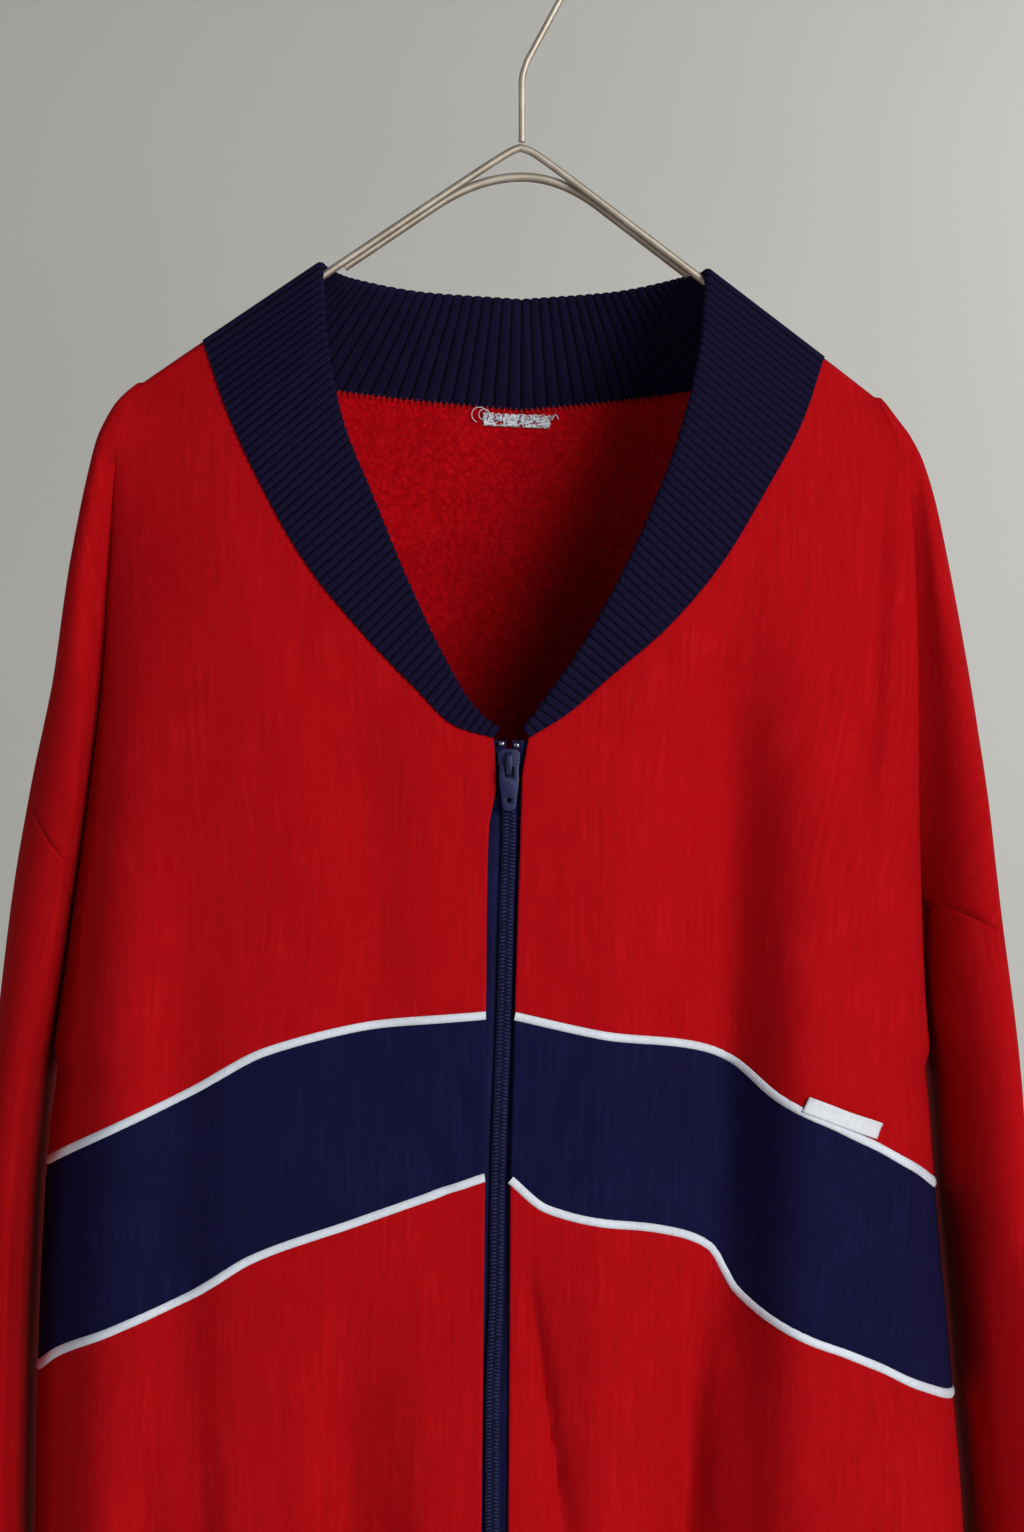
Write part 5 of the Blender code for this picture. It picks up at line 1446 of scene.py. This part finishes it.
def woven(name, colour, dark, pitch, roughness=0.6, specular=0.3, sheen=0.1):
    """A close plain weave, as on binding, labels and zip tape, darker between its threads as painted shade."""
    finish = Finish(name)
    u, v = finish.across_and_down()
    warp = (u / (pitch * MM) * math.pi).sin()
    weft = (v / (pitch * MM) * math.pi).sin()
    cloth = abs(warp * weft)
    fuzz = finish.noise(finish.place(), 700.0, 3.0, 0.6)
    cloud = finish.noise(finish.place(), 40.0, 3.0, 0.6)
    # painted shade: where the weave and fuzz heights of the bump lie low, the colour turns dark; cloud is
    # random mottle
    tone = (cloth * 0.35 + fuzz * 0.5 + cloud * 0.5).above(0.25, 0.85)
    finish.bump(cloth * 0.8 + fuzz * 0.4, 0.12 * MM, 0.7)
    return finish.set(
        Base_Color=finish.blend(tone, dark, colour), Roughness=roughness + fuzz * 0.15,
        Specular_IOR_Level=specular, Sheen_Weight=sheen, Sheen_Roughness=0.4,
    )


def frayed(name, colour, dark):
    """What is left of a woven strip: threads along it, with gaps between, darker where the threads lie low as
    painted shade.
    """
    finish = Finish(name)
    u, v = finish.across_and_down()
    rags = finish.noise(finish.vector(u * 260.0, v * 900.0), 1.0, 4.0, 0.7)
    holes = finish.noise(finish.vector(u * 620.0, v * 300.0, 4.0), 1.0, 2.0, 0.6)
    finish.bump(rags, 0.5 * MM, 0.8)
    # painted shade: where the rags height of the bump lies low, the colour turns dark
    return finish.set(
        Base_Color=finish.blend(rags.above(0.35, 0.7), dark, colour), Roughness=0.7, Specular_IOR_Level=0.2,
        Alpha=(rags * 0.6 + holes * 0.5).above(0.51, 0.56),
    )


def plain_nylon(name, colour, dark):
    finish = Finish(name)
    place = finish.place()
    grain = finish.noise(place, 900.0, 2.0, 0.5)
    finish.bump(grain, 0.05 * MM, 0.4)
    return finish.set(
        Base_Color=finish.blend(grain.above(0.3, 0.7), dark, colour), Roughness=0.4 + grain * 0.2,
        Specular_IOR_Level=0.25,
    )


def enamel(name, colour, worn):
    """Paint over metal, rubbed through at fine scratches."""
    finish = Finish(name)
    place = finish.place()
    mottle = finish.noise(place, 260.0, 4.0, 0.65)
    scratch = finish.noise(place, 1400.0, 2.0, 0.5)
    rub = (mottle * 0.7 + scratch * 0.5).above(0.66, 0.78)
    finish.bump(mottle * 0.6 + scratch * 0.4, 0.08 * MM, 0.4)
    return finish.set(
        Base_Color=finish.blend(rub, colour, worn), Metallic=rub * 0.6, Roughness=0.34 + mottle * 0.25,
        Specular_IOR_Level=0.35, Coat_Weight=0.08,
    )


def metal(name, colour, dull, roughness):
    finish = Finish(name)
    place = finish.place()
    cloud = finish.noise(place, 70.0, 4.0, 0.65)
    draw = finish.noise(place, 1600.0, 2.0, 0.5)
    tone = (cloud * 0.8 + draw * 0.35).above(0.35, 0.8)
    finish.bump(draw, 0.02 * MM, 0.35)
    return finish.set(
        Base_Color=finish.blend(tone, dull, colour), Metallic=1.0, Roughness=roughness + cloud * 0.14
    )


def wall_paint(name, colour, dark):
    finish = Finish(name)
    place = finish.place()
    grain = finish.noise(place, 90.0, 4.0, 0.6)
    cloud = finish.noise(place, 0.7, 2.0, 0.5)
    finish.bump(grain, 1.0 * MM, 0.15)
    return finish.set(Base_Color=finish.blend(cloud.above(0.3, 0.7), dark, colour), Roughness=0.95)


# ---- stage ----


def cove(look):
    """A floor that curves up into a wall, well behind the garment."""
    radius, floor, wall_y = 0.9, look.floor_height, look.wall_distance
    line = [(-4.5, floor)]
    for i in range(13):
        turn = math.pi / 2 * i / 12
        line.append((wall_y - radius + radius * math.sin(turn), floor + radius - radius * math.cos(turn)))
    line.append((wall_y, 3.5))
    bm = bmesh.new()
    verts = [bm.verts.new((-5.0, y, z)) for y, z in line]
    edges = [bm.edges.new((a, b)) for a, b in zip(verts, verts[1:])]
    made = bmesh.ops.extrude_edge_only(bm, edges=edges)["geom"]
    moved = [item for item in made if isinstance(item, bmesh.types.BMVert)]
    bmesh.ops.translate(bm, vec=(10.0, 0, 0), verts=moved)
    bmesh.ops.recalc_face_normals(bm, faces=bm.faces)
    if sum(face.normal.z for face in bm.faces) < 0:
        bmesh.ops.reverse_faces(bm, faces=bm.faces)
    mesh = bpy.data.meshes.new("cove")
    bm.to_mesh(mesh)
    bm.free()
    mesh.shade_smooth()
    mesh.materials.append(wall_paint("wall_paint", look.wall, look.wall_dark))
    backdrop = bpy.data.objects.new("cove", mesh)
    bpy.context.scene.collection.objects.link(backdrop)


def soft_light(name, place, target, size, power, colour):
    light = bpy.data.lights.new(name, "AREA")
    light.shape = "RECTANGLE"
    light.size, light.size_y = size
    light.energy = power
    light.color = colour
    lamp = bpy.data.objects.new(name, light)
    lamp.location = place
    lamp.rotation_euler = (Vector(target) - Vector(place)).to_track_quat("-Z", "Y").to_euler()
    bpy.context.scene.collection.objects.link(lamp)


def add_camera(look):
    """The photograph's view: level, in front of the middle of the chest."""
    data = bpy.data.cameras.new("camera")
    data.sensor_width = 36.0
    data.sensor_fit = "AUTO"
    data.lens = look.lens
    data.clip_end = 50.0
    camera = bpy.data.objects.new("camera", data)
    camera.location = look.camera_place
    camera.rotation_euler = (math.pi / 2, 0, 0)
    bpy.context.scene.collection.objects.link(camera)
    bpy.context.scene.camera = camera


# ---- finishes by name ----

FINISHES = {  # how each is made, from which colours, and its other numbers
    "red_jersey": (jersey, ("red", "red_shade", "red_bloom")),
    "red_fleece": (fleece, ("fleece", "fleece_shade", "fleece_bloom")),
    "navy_jersey": (jersey, ("navy", "navy_shade", "navy_bloom")),
    "navy_fleece": (fleece, ("navy", "navy_shade", "navy_bloom")),
    "navy_rib": (rib_knit, ("rib", "rib_groove", "rib_bloom")),
    "white_binding": (woven, ("white", "white_shade"), 0.55, 0.5, 0.35),
    "label_weave": (woven, ("label", "white_shade"), 0.4, 0.4, 0.45),
    "frayed_weave": (frayed, ("label", "white_shade")),
    "white_thread": (woven, ("white", "white_shade"), 0.3, 0.6, 0.3),
    "red_thread": (woven, ("thread", "red_shade"), 0.3, 0.6, 0.3),
    "zip_tape_weave": (woven, ("tape", "tape_shade"), 0.45, 0.8, 0.08, 0.02),
    "coil_nylon": (plain_nylon, ("coil", "tape_shade")),
    "navy_enamel": (enamel, ("enamel", "enamel_worn")),
    "bright_silver": (metal, ("silver", "silver_dull"), 0.22),
    "aged_nickel": (metal, ("nickel", "nickel_dull"), 0.52),
}


def finish(name):
    """The finish of that name, which is made when a piece first needs it."""
    made = bpy.data.materials.get(name + "_finish")
    if made is None:
        recipe, colours, *numbers = FINISHES[name]
        look = bpy.context.scene.sweatshirt_look
        made = recipe(name, *(getattr(look, key) for key in colours), *numbers)
    return made


# ---- settings ----


def colour(name, description, default):
    return FloatVectorProperty(
        name=name, description=description, default=default, subtype="COLOR", size=3, min=0.0, max=1.0
    )


def length(name, description, default):
    return FloatProperty(
        name=name, description=description, default=default, subtype="DISTANCE", unit="LENGTH"
    )


def power(name, description, default):
    return FloatProperty(name=name, description=description, default=default, unit="POWER")


class SweatshirtLook(bpy.types.PropertyGroup):
    """Colours and sizes of the sweatshirt."""

    red: colour("Red", "Face of the red jersey", linear(178, 11, 19))
    # painted shade: the red jersey's colour low between its stitches, and the red thread's colour between its
    # threads
    red_shade: colour("Red between stitches", "Dark of the red jersey", linear(150, 4, 12))
    red_bloom: colour("Red bloom", "Worn fibre on the red jersey", linear(206, 30, 34))
    fleece: colour("Fleece", "Brushed inside of the red cloth", linear(196, 10, 20))
    # painted shade: the fleece's colour low between its tufts
    fleece_shade: colour("Fleece between tufts", "Dark of the red fleece", linear(156, 4, 14))
    # paler tops of the fleece's clumps, partly pale fibre ends and partly painted highlight, and its sheen tint
    fleece_bloom: colour("Fleece tips", "Pale fibre ends of the red fleece", linear(214, 40, 44))
    navy: colour("Navy", "Face of the navy jersey", linear(23, 20, 62))
    # painted shade: the navy jersey's colour low between its stitches, and the navy fleece's colour between its
    # tufts
    navy_shade: colour("Navy between stitches", "Dark of the navy jersey", linear(13, 12, 40))
    navy_bloom: colour("Navy bloom", "Worn fibre on the navy jersey", linear(38, 38, 84))
    rib: colour("Rib", "Ridges of the rib knit", linear(21, 17, 45))
    # painted shade in the rib knit's grooves
    rib_groove: colour("Rib groove", "Grooves of the rib knit", linear(6, 5, 15))
    rib_bloom: colour("Rib bloom", "Worn fibre on the rib knit", linear(36, 32, 70))
    white: colour("White", "Piping and thread", linear(222, 230, 242))
    # painted shade: the white weave's colour low between its threads, and the frayed label's low threads
    white_shade: colour("White shade", "Dark of the white weave", linear(186, 190, 200))
    label: colour("Label", "Bare woven label", linear(226, 230, 236))
    thread: colour("Overlock thread", "Stitches of the neck seam", linear(172, 34, 38))
    tape: colour("Zip tape", "Woven tape beside the coil", linear(27, 27, 72))
    # painted shade: the zip tape's colour low between its threads; on the coil, random dark mottle
    tape_shade: colour("Zip tape shade", "Dark of the tape and coil", linear(10, 10, 26))
    coil: colour("Zip coil", "Nylon teeth", linear(36, 40, 86))
    enamel: colour("Enamel", "Paint of the slider and tab", linear(17, 22, 66))
    enamel_worn: colour("Worn enamel", "Where the paint is rubbed", linear(46, 56, 112))
    silver: colour("Silver", "The zip's stops", linear(220, 220, 216))
    silver_dull: colour("Dull silver", "Tarnish on the stops", linear(150, 148, 142))
    nickel: colour("Nickel", "The hanger's wire", linear(204, 197, 186))
    nickel_dull: colour("Dull nickel", "Tarnish on the wire", linear(176, 164, 148))
    cloth_thickness: length("Cloth thickness", "Thickness of the fleece-backed jersey", CLOTH_THICKNESS * MM)


class StageLook(bpy.types.PropertyGroup):
    """Camera, lights and backdrop."""

    lens: FloatProperty(name="Lens", description="Focal length", default=50.0, subtype="DISTANCE_CAMERA")
    camera_place: FloatVectorProperty(
        name="Camera place", description="Where the camera stands", default=(-0.0044, -0.93, -0.3707),
        size=3, subtype="TRANSLATION", unit="LENGTH",
    )
    floor_height: length("Floor height", "Height of the floor", -1.75)
    wall_distance: length("Wall distance", "How far behind the garment the wall stands", 3.2)
    wall: colour("Wall", "Wall and floor", linear(226, 225, 221))
    wall_dark: colour("Wall shade", "Slow variation of the wall", linear(221, 220, 215))
    key_power: power("Key light", "Power of the window light", 88.0)
    fill_power: power("Fill light", "Power of the fill", 12.0)
    wash_power: power("Wall wash", "Power of the light on the wall", 30.0)
    sky: FloatProperty(name="Surroundings", description="Strength of the grey surroundings", default=0.13)


# ---- operators ----


class BUILD_OT_stage(bpy.types.Operator):
    """Sets up the floor and wall, the lights and the camera"""

    bl_idname = "sweatshirt.stage"
    bl_label = "Stage"

    def execute(self, context):
        look = context.scene.sweatshirt_stage
        cove(look)
        for name, place, target, size, energy, tint in (
            ("window", (1.72, -2.42, 0.3), (0, 0, -0.42), (1.3, 1.8), look.key_power, (1.0, 0.985, 0.96)),
            ("fill", (-2.4, -1.6, 0.2), (0, 0, -0.4), (1.6, 2.0), look.fill_power, (0.95, 0.97, 1.0)),
            ("wall_wash", (2.6, 1.3, 0.9), (0.7, 3.2, 0.3), (1.4, 1.8), look.wash_power, (1.0, 1.0, 1.0)),
        ):
            soft_light(name, place, target, size, energy, tint)
        world = bpy.data.worlds.new("surroundings")
        world.use_nodes = True
        background = world.node_tree.nodes["Background"]
        background.inputs["Color"].default_value = (0.94, 0.97, 1.0, 1.0)
        background.inputs["Strength"].default_value = look.sky
        context.scene.world = world
        context.scene.view_settings.view_transform = "Standard"
        add_camera(look)
        return {"FINISHED"}


class BUILD_OT_fronts(bpy.types.Operator):
    """Builds both fronts: the red tops, the navy chest bands and the red lower parts"""

    bl_idname = "sweatshirt.fronts"
    bl_label = "Fronts"

    def execute(self, context):
        red = [finish("red_jersey"), finish("red_fleece")]
        navy = [finish("navy_jersey"), finish("navy_fleece")]
        for side in SIDES:
            top, bottom = side.piping["top"], side.piping["bottom"]
            front_upper(side, red)
            front_strip(side, "chest_band", top, bottom, navy)
            front_strip(side, "front_lower", bottom, lambda x: BODY_HEM_SEAM, red)
        return {"FINISHED"}


class BUILD_OT_back(bpy.types.Operator):
    """Builds the back"""

    bl_idname = "sweatshirt.back"
    bl_label = "Back"

    def execute(self, context):
        back_panel([finish("red_jersey"), finish("red_fleece")])
        return {"FINISHED"}


class BUILD_OT_sleeves(bpy.types.Operator):
    """Builds both sleeves"""

    bl_idname = "sweatshirt.sleeves"
    bl_label = "Sleeves"

    def execute(self, context):
        for side in SIDES:
            sleeve(side, [finish("red_jersey"), finish("red_fleece")])
        return {"FINISHED"}


class BUILD_OT_ribs(bpy.types.Operator):
    """Knits the collar, the hem band and the cuffs"""

    bl_idname = "sweatshirt.ribs"
    bl_label = "Ribs"

    def execute(self, context):
        collar(finish("navy_rib"))
        hem_band(finish("navy_rib"))
        for side in SIDES:
            cuff(side, finish("navy_rib"))
        return {"FINISHED"}


class BUILD_OT_piping(bpy.types.Operator):
    """Lays the white piping along the chest bands"""

    bl_idname = "sweatshirt.piping"
    bl_label = "Piping"

    def execute(self, context):
        for side in SIDES:
            for line in ("top", "bottom"):
                piping(side, line, finish("white_binding"))
        return {"FINISHED"}


class BUILD_OT_zip(bpy.types.Operator):
    """Builds the zip: its tapes, coil, slider, pull tab, stops and box"""

    bl_idname = "sweatshirt.zip"
    bl_label = "Zip"

    def execute(self, context):
        for side in SIDES:
            zip_tape(side, finish("zip_tape_weave"))
        zip_chain(finish("zip_tape_weave"), finish("coil_nylon"))
        zip_slider(finish("navy_enamel"))
        pull_tab(finish("navy_enamel"))
        zip_ends(finish("bright_silver"), finish("navy_enamel"))
        return {"FINISHED"}


class BUILD_OT_labels(bpy.types.Operator):
    """Sews on the bare labels and the neck seam's stitches"""

    bl_idname = "sweatshirt.labels"
    bl_label = "Labels and stitches"

    def execute(self, context):
        label("band_label", RIGHT, FRONT, BAND_LABEL, 1.9, 0.8, finish("label_weave"))
        label("neck_label", LEFT, BACK, NECK_LABEL, -1.9, 0.0, finish("frayed_weave"))
        label_threads(finish("white_thread"))
        overlock(finish("red_thread"))
        return {"FINISHED"}


class BUILD_OT_cuts(bpy.types.Operator):
    """Does nothing: no sizes of the cloth's cuts are stated"""

    bl_idname = "sweatshirt.cuts"
    bl_label = "Cuts"

    def execute(self, context):
        return {"FINISHED"}


class BUILD_OT_hanger(bpy.types.Operator):
    """Bends the wire hanger"""

    bl_idname = "sweatshirt.hanger"
    bl_label = "Hanger"

    def execute(self, context):
        hanger(finish("aged_nickel"))
        return {"FINISHED"}


PIECES = (
    BUILD_OT_stage, BUILD_OT_fronts, BUILD_OT_back, BUILD_OT_sleeves, BUILD_OT_ribs, BUILD_OT_piping,
    BUILD_OT_zip, BUILD_OT_labels, BUILD_OT_hanger, BUILD_OT_cuts,
)


class VIEW3D_PT_sweatshirt(bpy.types.Panel):
    """Lists the pieces of the sweatshirt and its settings"""

    bl_label = "Zip-up sweatshirt"
    bl_space_type = "VIEW_3D"
    bl_region_type = "UI"
    bl_category = "Sweatshirt"

    def draw(self, context):
        for piece in PIECES:
            self.layout.operator(piece.bl_idname)
        for settings in (context.scene.sweatshirt_look, context.scene.sweatshirt_stage):
            box = self.layout.box()
            for key in settings.__annotations__:
                box.prop(settings, key)


def register():
    for item in (SweatshirtLook, StageLook, *PIECES, VIEW3D_PT_sweatshirt):
        bpy.utils.register_class(item)
    bpy.types.Scene.sweatshirt_look = PointerProperty(type=SweatshirtLook)
    bpy.types.Scene.sweatshirt_stage = PointerProperty(type=StageLook)


def unregister():
    del bpy.types.Scene.sweatshirt_stage
    del bpy.types.Scene.sweatshirt_look
    for item in reversed((SweatshirtLook, StageLook, *PIECES, VIEW3D_PT_sweatshirt)):
        bpy.utils.unregister_class(item)


def main():
    register()
    for build in (
        bpy.ops.sweatshirt.stage, bpy.ops.sweatshirt.fronts, bpy.ops.sweatshirt.back,
        bpy.ops.sweatshirt.sleeves, bpy.ops.sweatshirt.ribs, bpy.ops.sweatshirt.piping,
        bpy.ops.sweatshirt.zip, bpy.ops.sweatshirt.labels, bpy.ops.sweatshirt.hanger, bpy.ops.sweatshirt.cuts,
    ):
        build()


if __name__ == "__main__":
    main()
